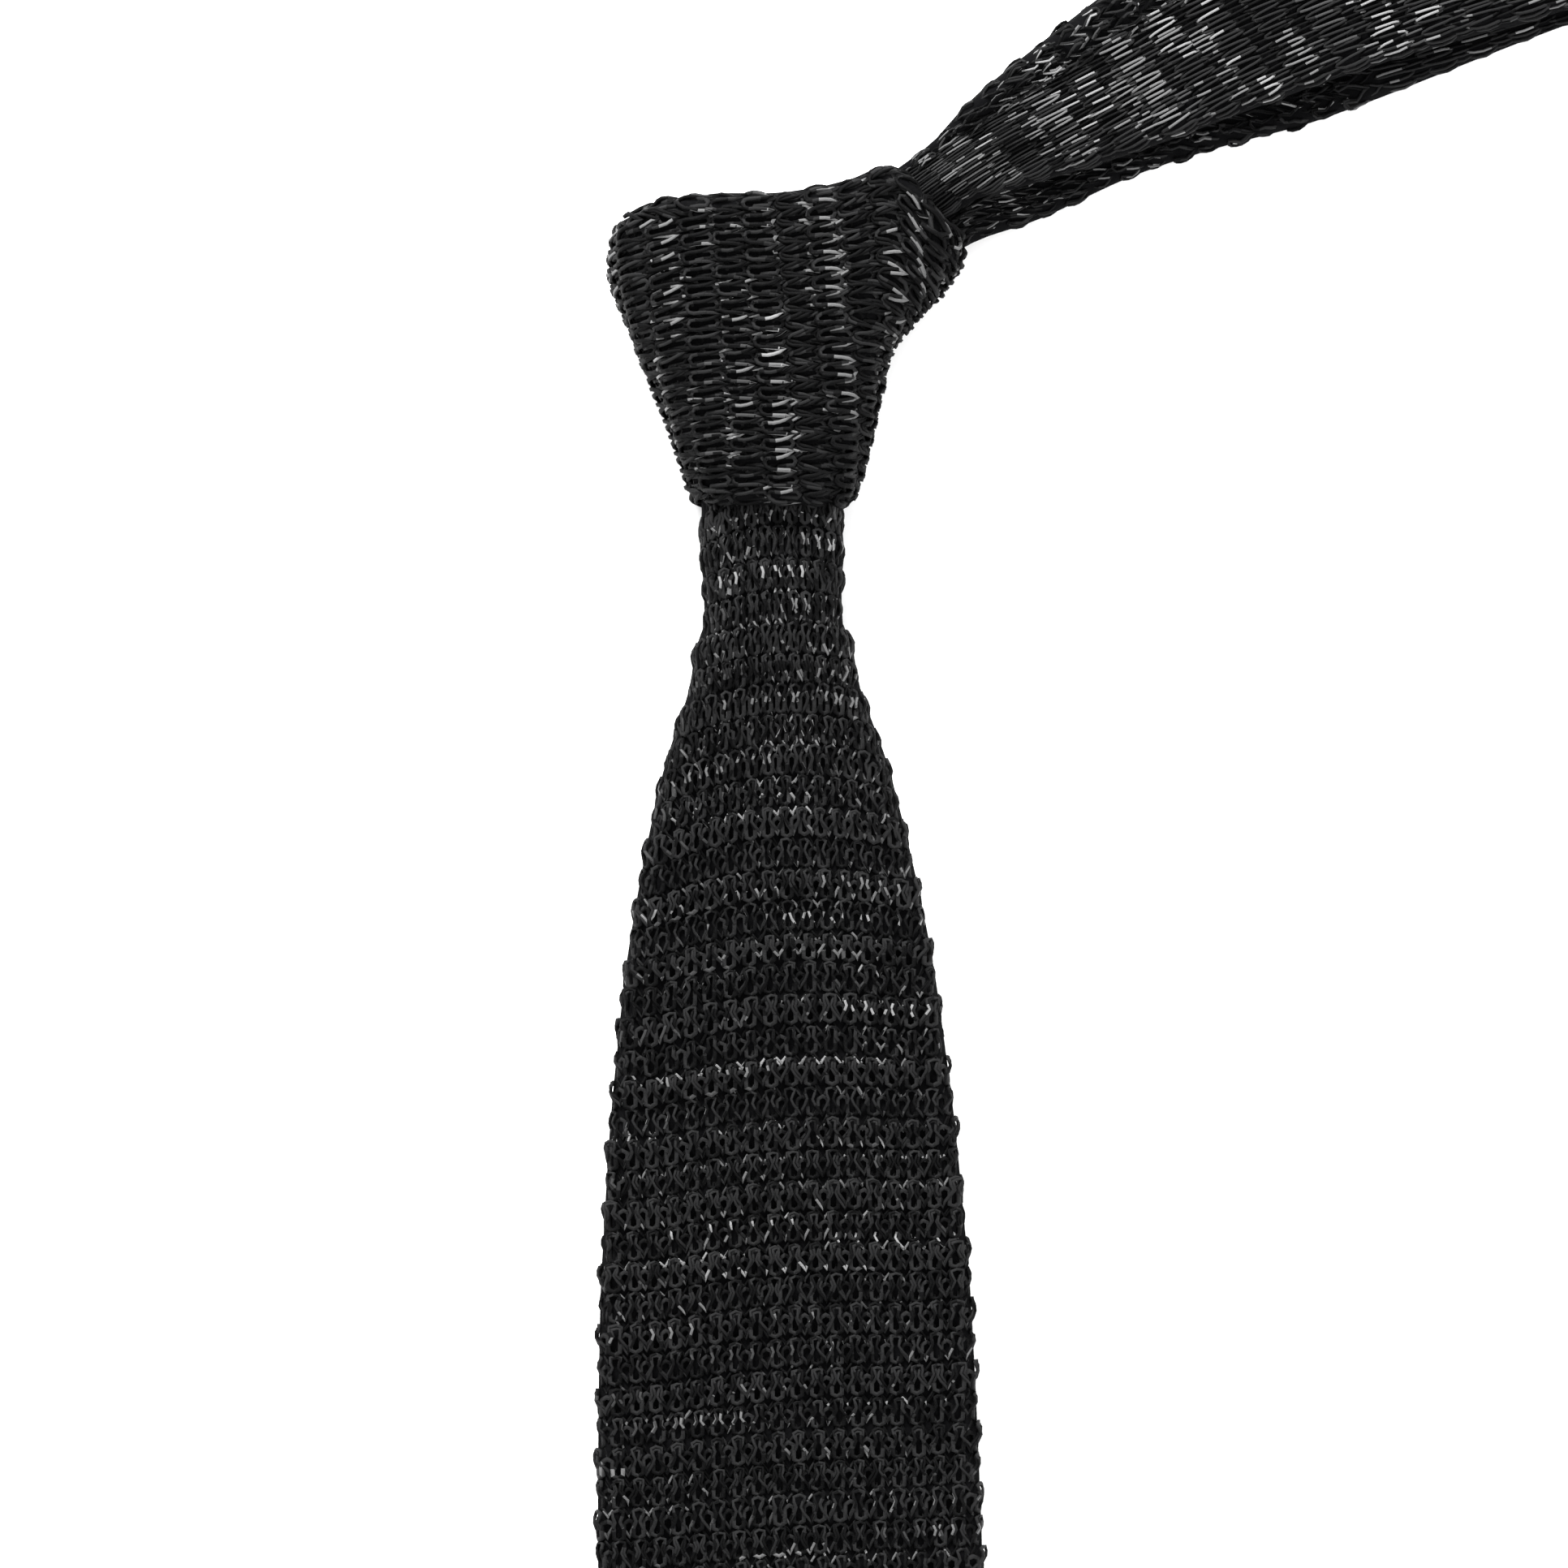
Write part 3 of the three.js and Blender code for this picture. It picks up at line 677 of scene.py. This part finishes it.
def knit_blade(name, rows, fine=True, plenty=0.45):
    """Front loops with both plies over the reverse loops between them, and coarser ones on the back."""
    common = {"way": -1, "shift": blade_shift, "ridge": blade_ridge,
              "fleck": {"plenty": plenty, "marks": BLADE_FLECKS, "apart": (1, 2 + int(2 / plenty))}}
    looks = [(BLADE_FRONT, {} if fine else {"per_loop": 8}), *((wales, PLAIN) for wales in BLADE_BACK)]
    batches = [loops(blade, rows, wales, COURSE, blade_start, blade_pitch, **{**common, **look})
               for wales, look in looks]
    if fine:
        batches.append(loops(blade, rows, HALF_WALES, COURSE, blade_start + COURSE / 2, blade_pitch,
                             **{**common, **REVERSE}))
    return stitches(name, *batches)


blade_rows = int((length_at(blade, BLADE_END) - blade_start) / COURSE)
splits = [0, 24, 50, 76, 116, 158, blade_rows]  # rows where one piece's stitches end and the next one's start
throat_span = length_at(blade, -10), length_at(blade, -76)
blade_span = length_at(blade, -74), length_at(blade, -502.8)
throat_cloth = cloth_body("blade_throat_cloth", blade, *throat_span, steps=26)
throat_knit = knit_blade("blade_throat_stitches", range(0, splits[1]), plenty=1.0)
blade_cloth = cloth_body("blade_cloth", blade, *blade_span, steps=100)
blade_knit = [knit_blade(f"blade_stitches_{n + 1}", range(a, b), fine=n < 2)
              for n, (a, b) in enumerate(zip(splits[1:-1], splits[2:]))]

# ---------------- the knot

KNOT_FLECKS = [(-6, 1, 7, 3), (-2, 6, 7, 3), (-3, -7, 0, 3), (-1, 1, 3, 3), (0, -7, 0, 3), (1, -7, -2, 3),
               (4, 2, 8, 3), (5, 3, 6, 3), (10, -2, 5, 3), (11, 5, 10, 3), (12, -4, 3, 3), (13, -2, 9, 3),
               (14, 2, 9, 3), (15, 1, 8, 3)]
KNOT_PITCH, KNOT_START = 2.74, -0.6
KNOT_ROWS = range(-19, 21)
WRAP_SPAN = -40, 44  # the mean length of a row, with its ends under the knot
HIDDEN_LOOP = 2.7  # height and width of the loops on the knot's hidden layers

wrap = Wrap()
wrap_cloth = cloth_body("knot_wrap_cloth", wrap, *WRAP_SPAN, steps=70, sides=72)
wrap_face = loops(wrap, KNOT_ROWS, range(-11, 11), COURSE, KNOT_START, KNOT_PITCH, way=-1, ridge=0.42,
                  tall=0.7, feet=(0, 0.8, 0, 0.8), swing=(-0.06, 0.04, -0.03), ply=0.31,
                  fleck={"plenty": 0.3, "runs": (2, 8), "long": (0.18, 0.24, 0.3), "legs": (0.12, 0.88),
                         "v_shape": 0.12, "light": 0.45, "marks": KNOT_FLECKS})
wrap_reverse = loops(wrap, KNOT_ROWS, HALF_WALES[1:-1], COURSE, KNOT_START + COURSE / 2, KNOT_PITCH, way=-1,
                     ridge=0.34, **REVERSE)
wrap_knit = stitches("knot_wrap_stitches", wrap_face, wrap_reverse)


def hidden_layer(name, band, wales, start, steps, ridge):
    """One of the knot's inner layers, as its cloth and its stitches."""
    cloth = cloth_body(f"{name}_cloth", band, 0, band.length, steps=steps, sides=32)
    rows = range(0, int(band.length / HIDDEN_LOOP))
    return cloth, stitches(f"{name}_stitches",
                           loops(band, rows, wales, HIDDEN_LOOP, start, HIDDEN_LOOP, ridge=ridge, **PLAIN))


# Up behind the neck, over the top and down through the front wrap.
over = Band([(-15, 3.5, 2.0, 18, 3.2), (-11, 11.0, 2.0, 18, 3.2), (-7, 15.6, 2.4, 17, 3.2),
             (-5.0, 18.0, 5.5, 16, 3.2), (-4.6, 18.2, 9.5, 16, 3.2), (-4.0, 15.6, 12.8, 16, 3.2),
             (-3.0, 10.0, 13.6, 17, 3.2), (0.0, -2.0, 13.8, 18, 3.2), (0.3, -12.0, 13.6, 18, 3.2)])
over.steer(np.array([0.93, -0.36, 0.0]))
over_cloth, over_knit = hidden_layer("knot_riser", over, range(-7, 7), 1.2, 40, 0.5)

# Across the back of the knot.
back = Band([(-9.5, -6.5, 2.0, 18, 3.4), (-3, -4, 2.0, 22, 3.4), (6, 2, 2.0, 22, 3.4),
             (13, 8.0, 2.0, 18, 3.4), (20.5, 14.5, 2.0, 14, 3.4)])
back_cloth, back_knit = hidden_layer("knot_back_wrap", back, range(-9, 9), 1.0, 22, 0.1)

# ---------------- the neck loop

NECK_WIDTH, NECK_THICK = 36.6, 3.6  # where the knot doesn't gather it
FOLD = np.array([203.0, 98.6])  # where the loop folds back at the neck
FOLD_HEIGHT, FOLD_RADIUS = 6.45, 4.65
ALONG = np.array([math.cos(math.radians(19)), math.sin(math.radians(19))])
near = [(-13.0, 1.5, 10.6, 20.0, 3.6), (-2.5, 4.6, 10.6, 19.0, 3.6), (8.0, 10.4, 10.6, 15.0, 3.6),
        (17.5, 19.4, 10.6, 10.5, 3.8), (26.6, 26.6, 10.8, 9.6, 4.2), (35.4, 32.3, 11.0, 14.8, 4.0),
        (45.1, 37.4, 11.1, 19.2, 3.8), (55.4, 42.9, 11.1, 23.2, 3.6), (68.1, 49.8, 11.1, 27.0, 3.6),
        (90.0, 59.8, 11.1, 31.0, 3.6), (120.0, 70.2, 11.1, 34.4, 3.6), (160.0, 83.8, 11.1, NECK_WIDTH, 3.6),
        (*FOLD, 11.1, NECK_WIDTH, NECK_THICK)]
fold = [(*(FOLD + ALONG * (FOLD_RADIUS * math.sin(a) + 0.6)), FOLD_HEIGHT + FOLD_RADIUS * math.cos(a),
         NECK_WIDTH, NECK_THICK) for a in np.linspace(0, np.pi, 9)[1:-1]]
far = [(*FOLD, 1.9, NECK_WIDTH, NECK_THICK), (160.0, 83.4, 1.9, NECK_WIDTH, 3.6),
       (118.3, 67.7, 1.9, 34.2, 3.6), (103.4, 61.3, 1.9, 33.0, 3.6), (80.1, 49.8, 1.9, 28.4, 3.6),
       (66.3, 43.6, 1.9, 23.6, 3.6),
       (51.9, 35.8, 2.2, 18.0, 3.8), (38.0, 26.2, 4.2, 12.6, 4.2), (28.7, 21.0, 6.2, 8.8, 4.2),
       (19.6, 15.4, 6.3, 8.6, 4.0), (10.6, 7.4, 6.3, 10.6, 3.8), (3.2, -4.6, 6.3, 14.0, 3.6),
       (0.8, -13.0, 6.3, 17.0, 3.6)]


def near_pleats(x, v):
    """The gathered cloth opens from the pinch in a few soft pleats."""
    fade = 1 - ramp(v, 52, 96)
    return 1.1 * fade * np.sin(0.95 * x * (1 - 0.35 * ramp(v, 45, 90)) + 1.2)


loop = Band(near + fold + far, pleats=near_pleats)
level_across = np.cross(loop.tangent * [1, 1, 0], [0, 0, 1])
level_across[loop.table[:, 2] < FOLD_HEIGHT] *= -1  # the far strand runs back
level_across[loop.table[:, 0] > 200] = (ALONG[1], -ALONG[0], 0)
loop.steer(unit(level_across))


def pinch(samples, x, y):
    """The length along the loop, among some of its samples, that is nearest a point."""
    table = loop.table[samples]
    return float(loop.l[samples][np.argmin(np.hypot(table[:, 0] - x, table[:, 1] - y))])


NECK_COURSE = 3.7
HALF_WAY = Band.SAMPLES // 2
near_cut = pinch(slice(None, HALF_WAY), 27.5, 27.2) + 5 * NECK_COURSE
far_cut = pinch(slice(HALF_WAY, None), 29.5, 21.2) - 5 * NECK_COURSE
neck_rows = int((far_cut - near_cut) / NECK_COURSE)
half_rows = neck_rows // 2
SLACK = 52  # length beyond the cuts on which the outer edge is slack
slack_rows, slack_long = int(SLACK / COURSE), int(SLACK / NECK_COURSE)

NECK_FLECKS = [(-5, 0, 4, 3), (-3, 1, 5, 3), (-1, -4, 1, 3), (0, -4, 0, 3), (3, 0, 6, 3), (4, -4, 6, 3),
               (6, -4, 0, 3), (7, 1, 8, 3)]
# Wales round the neck loop. The face lies up on the near strand, and the back on the far one.
FACE, BACK = [range(-13, 13)], [range(-24, -13), range(13, 24)]
# On the far strand the slack wales start past the end of the thin loops, so a strip of bare near-black cloth
# shows under the near strand's edge: a painted shadow.
NEAR_SLACK, FAR_SLACK = range(-9, -2), range(4, 13)  # the wider wales of the slack edges


def thinned(v):
    """How thick the yarn is: it is drawn thin where the knot gathers the strand."""
    return 0.72 + 0.28 * ramp(loop.width(v), 10, 26)


def gathered(pitch):
    """Wales lie closer together where the knot gathers the cloth."""
    return lambda v: pitch * (0.55 + 0.45 * ramp(loop.width(v), 9, 30))


def neck_shift(s, v):
    return 0.18 * s


def slack_edge(rows, wales, v0):
    """The outer edge of a strand beside the knot is slack, with full ridged loops like those of the blade."""
    return loops(loop, rows, wales, COURSE, v0, gathered(2.6), shift=neck_shift, ridge=0.62, ply=0.22,
                 loose=0.16, lift=-0.05, tall=0.75, thicken=thinned,
                 fleck={"plenty": 1.0, "runs": (1, 5), "apart": (1, 3), "both": 0.8, "long": (0.16, 0.26),
                        "legs": (0.15, 0.25, 0.75, 0.85)})


def knit_neck(name, rows, shown, hidden, *extra, plenty=0.95):
    """Thin tight loops over the ranges of wales given, with less detail on the ranges that nothing shows."""
    common = {"plies": 1, "deep": 0.45, "feet": FLAT, "swing": (0.02, 0.06), "tip": 0.0, "tall": 0.8,
              "ridge": 0.25, "loose": 0.22, "thicken": thinned, "shift": neck_shift,
              "fleck": {"plenty": plenty, "runs": (3, 14), "apart": (1, 3), "both": 0.5, "gaps": 0.3,
                        "long": (0.1, 0.16, 0.22, 0.3), "legs": (0.2, 0.26, 0.32, 0.68, 0.74, 0.8),
                        "v_shape": 0.25, "slant": 0.02, "loose": 0.05, "light": 1.9, "marks": NECK_FLECKS}}
    looks = [(shown, {"ply": 0.23, "per_loop": 12}), (hidden, {"ply": 0.27, "per_loop": 8, "sides": 3})]
    batches = [loops(loop, rows, wales, NECK_COURSE, near_cut, gathered(1.72), **common, **look)
               for group, look in looks for wales in group]
    return stitches(name, *batches, *extra)


near_root = cloth_body("neck_near_root_cloth", loop, 0, near_cut + 4, steps=24, sides=40, sink=0.4)
near_root_knit = knit_neck("neck_near_root_stitches", range(-16, 1), [range(-4, 13)], BACK,
                           slack_edge(range(-12, 1), NEAR_SLACK, near_cut), plenty=0.7)
far_root = cloth_body("neck_far_root_cloth", loop, far_cut - 4, loop.length, steps=24, sides=40, sink=0.4)
far_root_knit = knit_neck("neck_far_root_stitches", range(neck_rows, neck_rows + 16), BACK, [range(-13, 4)],
                          slack_edge(range(0, 12), FAR_SLACK, far_cut))
loop_cloth = cloth_body("neck_loop_cloth", loop, near_cut, far_cut, steps=150, sides=48, sink=0.4)
near_knit = knit_neck("neck_near_stitches", range(slack_long, half_rows), FACE, BACK)
near_slack = knit_neck("neck_near_slack_stitches", range(1, slack_long), [range(-4, 13)], BACK,
                       slack_edge(range(1, slack_rows), NEAR_SLACK, near_cut))
far_knit = knit_neck("neck_far_stitches", range(half_rows, neck_rows - slack_long),
                     [range(-24, -13), range(8, 24)], [range(-13, 8)])
far_slack = knit_neck("neck_far_slack_stitches", range(neck_rows - slack_long, neck_rows),
                      [range(-24, -13)], [range(-13, 4)],
                      slack_edge(range(-slack_rows, 0), FAR_SLACK, far_cut), plenty=0.9)

# ---------------- the tail


TAIL_END = -323.6
TAIL_COURSE, TAIL_PITCH = 2.7, 2.75


def tail_station(y):
    """The tail lies under the blade, and comes up to the knot's mouth."""
    under = 1.6 + 2.7 * ramp(y, -56, -27)
    width = float(curve([-330, -270, -210, -150, -100, -58, -30, 0], [48, 47, 44, 38, 30, 20, 18, 17.5], y))
    return (blade_x(y), y, under + 1.9, width, 3.5)


tail = Band([tail_station(y) for y in (-10, -18, -25, -30, -36, -42, -50, -58, -75, -100, -150, -210, -270,
                                       TAIL_END)])
tail_start = length_at(tail, -14)
tail_split = int((length_at(tail, -58) - tail_start) / TAIL_COURSE)
tail_rows = int((length_at(tail, TAIL_END) - tail_start) / TAIL_COURSE)
tail_root_span = length_at(tail, -11), length_at(tail, -60)
tail_span = length_at(tail, -57), length_at(tail, -323.8)


def knit_tail(name, rows):
    return stitches(name, loops(tail, rows, range(-18, 18), TAIL_COURSE, tail_start, TAIL_PITCH, way=-1,
                                ridge=0.15, **PLAIN))


tail_root_cloth = cloth_body("tail_throat_cloth", tail, *tail_root_span, steps=16, sides=36)
tail_root_knit = knit_tail("tail_throat_stitches", range(0, tail_split))
tail_cloth = cloth_body("tail_cloth", tail, *tail_span, steps=60, sides=40)
tail_knit = knit_tail("tail_stitches", range(tail_split, tail_rows))

# ---------------- end seams, the keeper and its tacks


def thread(path, radius, sides=6):
    """A closed round thread along a path of points, as (points, faces)."""
    path = np.asarray(path, float)
    along = unit(np.gradient(path, axis=0))
    side = [unit(np.cross(along[0], [0.31, 0.52, 0.79]))]  # square to the start, from any slanting direction
    for way in along[1:]:
        side.append(unit(side[-1] - way * (side[-1] @ way)))
    side = np.array(side)
    up = np.cross(along, side)
    angle = np.arange(sides) * 2 * np.pi / sides
    size = np.full(len(path), radius)
    size[0] = size[-1] = radius * 0.4
    rings = path[:, None] + size[:, None, None] * (np.cos(angle)[None, :, None] * side[:, None]
                                                   + np.sin(angle)[None, :, None] * up[:, None])
    return rings.reshape(-1, 3), tube_faces(len(path), sides)


def threads(name, paths, radius, paint):
    """One object of several threads, each with the next of the material numbers in paint."""
    verts, faces, slots = [], [], []
    for n, path in enumerate(paths):
        points, quads = thread(path, radius)
        start = sum(map(len, verts))
        verts.append(points)
        faces += [tuple(start + i for i in face) for face in quads]
        slots += [paint[n % len(paint)]] * len(quads)
    return make_object(name, np.concatenate(verts), faces, thread_materials, slots)


def leaning(points, y):
    """Turns points about the tube's middle at y to lie square to its lean."""
    points = np.asarray(points, float)
    lean = math.atan(LEAN)
    x = points[..., 0] * math.cos(lean) - (points[..., 1] - y) * math.sin(lean)
    across = points[..., 0] * math.sin(lean) + (points[..., 1] - y) * math.cos(lean)
    return np.stack([x + blade_x(y), y + across, points[..., 2]], -1)


def cad_box_mm(node):
    """The corners of a CAD node's box, in millimetres."""
    return (np.array(corner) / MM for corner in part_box(node))


def end_seam(node):
    """The loops of both faces linked together: a flat roll of cloth under overcast doubled yarn."""
    low, high = cad_box_mm(node)
    y, z = (low[1] + high[1]) / 2, (low[2] + high[2]) / 2
    half, tall = (high[0] - low[0]) / 2 - 0.5, (high[2] - low[2]) / 2
    sides, rings = 24, 60
    turn = np.linspace(0, 2 * np.pi, sides, endpoint=False)
    x = np.linspace(-half, half, rings)
    core = np.stack([x[:, None] + 0 * turn, y + 0.62 * np.cos(turn) + 0 * x[:, None],
                     z + (tall - 0.75) * np.sin(turn) + 0.15 * np.sin(x * 2.1)[:, None]], -1)
    roll = make_object(f"{node}_roll", leaning(core.reshape(-1, 3), y), tube_faces(rings, sides),
                       [cloth_ground])
    stitch = 1.56  # from one overcast stitch to the next
    turns = int(2 * half / stitch)
    t = np.linspace(0, turns, turns * 16)
    paths = []
    for ply in (0, 1):
        angle = 2 * np.pi * t
        spread = 0.24 * np.cos(2 * angle + np.pi * ply)
        path = np.stack([-half + 2 * half * t / turns + spread,
                         y + (0.86 + 0.1 * np.sin(1.7 * t)) * np.cos(angle),
                         z + (tall - 0.42) * np.sin(angle) + 0.12 * np.sin(2.3 * t + ply)], -1)
        paths.append(leaning(path, y))
    return roll, threads(f"{node}_stitches", paths, 0.30, (1, 0))


def ribbon(name, profile, width, y):
    """A woven tape along a profile of (x, z) points: fine ribs across it, and firm woven edges."""
    profile = np.array(profile, float)
    length = np.concatenate([[0], np.cumsum(np.hypot(*np.diff(profile, axis=0).T))])
    rib, half = 0.8, 0.42
    l = np.arange(0, length[-1], rib / 6)
    xz = np.stack([smoothed(np.interp(l, length, profile[:, i]), 4) for i in (0, 1)], 1)
    way = unit(np.gradient(xz, axis=0))
    up = np.stack([-way[:, 1], way[:, 0]], 1)
    n, m = len(l), 25
    across = np.linspace(-width / 2, width / 2, m)
    edge = np.clip((width / 2 - np.abs(across)) / 0.5, 0, 1)
    wave = 0.07 * np.cos(2 * np.pi * l / rib)[:, None] * np.ones(m)
    weave = 0.02 * np.cos(2 * np.pi * across / 0.5)[None, :] * np.cos(np.pi * l / rib)[:, None]
    thick = (half - 0.09 + wave + weave) * (0.55 + 0.45 * np.sqrt(edge))[None, :]
    sides = []  # its face, then its back the other way, which makes rings of a flat tube
    for sign in (1, -1):
        place = xz[:, None, :] + sign * thick[..., None] * up[:, None, :]
        points = np.stack([place[..., 0], y + across[None, :] + 0 * l[:, None], place[..., 1]], -1)
        sides.append(points[:, ::sign])
    verts = np.concatenate(sides, axis=1).reshape(-1, 3)
    tape = make_object(name, leaning(verts, y), tube_faces(n, 2 * m), [ribbon_black])
    return tape, float(length[-1])


def tack(node):
    """A bar of zigzag stitches over two rails of thread, sewn tight through one end of the keeper."""
    low, high = cad_box_mm(node)
    x, y, z = (low[0] + high[0]) / 2 - blade_x(KEEPER_Y), KEEPER_Y, (low[2] + high[2]) / 2
    step = 0.28
    steps = np.arange(0, 2 * int((high[1] - low[1] - 0.8) / (2 * step)))
    down = y - step * (steps - steps.mean())
    zig = np.stack([x + 0.72 * (-1.0) ** steps, down, z + 0.0 * steps], 1)
    fine = np.linspace(0, len(steps) - 1, len(steps) * 6)
    path = np.stack([np.interp(fine, steps, zig[:, i]) for i in range(3)], 1)
    path[:, 2] += 0.10 * np.cos(2 * np.pi * fine)
    rails = [np.stack([x + side * 0.5 + 0 * steps, down, z + 0.06 + 0 * steps], 1) for side in (-1, 1)]
    return threads(f"{node}_stitches", [leaning(line, y) for line in (path, *rails)], 0.15, (3,))


blade_roll, blade_link = end_seam("blade_end_seam")
tail_roll, tail_link = end_seam("tail_end_seam")

KEEPER_Y = -275.0
KEEPER_WIDTH = 11.8
INNER, OUTER = 25.75, 29.0  # where the ribbon turns down beside the tail, and where it ends
low, high = cad_box_mm("keeper_loop")
TOP_Z, FLOOR_Z, TURN_Z = high[2] - 0.55, low[2] + 0.55, 1.9
keeper_profile = [(-OUTER, TOP_Z), (-INNER - 0.5, TOP_Z), (-INNER, TOP_Z - 0.5), (-INNER, TURN_Z),
                  (-INNER + 1.0, FLOOR_Z), (INNER - 1.0, FLOOR_Z), (INNER, TURN_Z), (INNER, TOP_Z - 0.5),
                  (INNER + 0.5, TOP_Z), (OUTER, TOP_Z)]
keeper, keeper_length = ribbon("keeper_loop_ribbon", keeper_profile, KEEPER_WIDTH, KEEPER_Y)
left_tack = tack("keeper_tack_left")
right_tack = tack("keeper_tack_right")

# ---------------- who moves with what


def off(point, way, distance):
    """The place at a distance from a point along a direction."""
    return tuple(p + w * distance for p, w in zip(point, way))


for piece in (wrap_cloth, wrap_knit, over_cloth, over_knit, back_cloth, back_knit):
    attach(piece, "knot")
for piece in (throat_cloth, throat_knit, tail_root_cloth, tail_root_knit):
    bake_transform(piece)
for piece in [blade_cloth, *blade_knit, blade_roll, blade_link, keeper, left_tack, right_tack]:
    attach(piece, "front_blade")
for piece in (tail_roll, tail_link):
    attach(piece, "tail")
for piece in (tail_cloth, tail_knit):
    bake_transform(piece)
for piece in (near_root, near_root_knit, far_root, far_root_knit):
    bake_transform(piece)
for piece in (loop_cloth, near_knit, near_slack, far_knit, far_slack):
    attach(piece, "neck_loop")
    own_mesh(piece)

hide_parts("knot_front_wrap", "knot_left_turn", "knot_right_turn")
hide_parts("knot_riser", "knot_top_turn", "knot_blade_drop")
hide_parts("knot_back_wrap", "knot_first_turn")
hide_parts("knot_first_cross")
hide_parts("knot_tail_pass")
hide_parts("blade_throat")
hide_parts("tail_throat")
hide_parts("blade_body")
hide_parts("tail_body")
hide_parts("neck_near_strand", "neck_far_strand", "neck_back_fold")
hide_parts("blade_end_seam")
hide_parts("tail_end_seam")
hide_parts("keeper_loop")
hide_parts("keeper_tack_left")
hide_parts("keeper_tack_right")

# ---------------- the mean widths of the cloth's stretches


def sheet(piece, stretch, v0, v1, held, knit):
    """Works out the mean width of a stretch of the tube between the folded edges, and does nothing with it.
    """
    width = float(stretch.half_round(np.linspace(v0, v1, 200)).mean())


sheet(throat_cloth, blade, *throat_span, "gathered", [throat_knit])
sheet(blade_cloth, blade, *blade_span, "laid", [*blade_knit, blade_roll, blade_link])
sheet(wrap_cloth, wrap, *WRAP_SPAN, "folded", [wrap_knit])
sheet(over_cloth, over, 0, over.length, "folded", [over_knit])
sheet(back_cloth, back, 0, back.length, "folded", [back_knit])
sheet(near_root, loop, 0, near_cut + 4, "gathered", [near_root_knit])
sheet(far_root, loop, far_cut - 4, loop.length, "gathered", [far_root_knit])
sheet(loop_cloth, loop, near_cut, far_cut, "laid", [near_knit, near_slack, far_knit, far_slack])
sheet(tail_root_cloth, tail, *tail_root_span, "gathered", [tail_root_knit])
sheet(tail_cloth, tail, *tail_span, "laid", [tail_knit, tail_roll, tail_link])
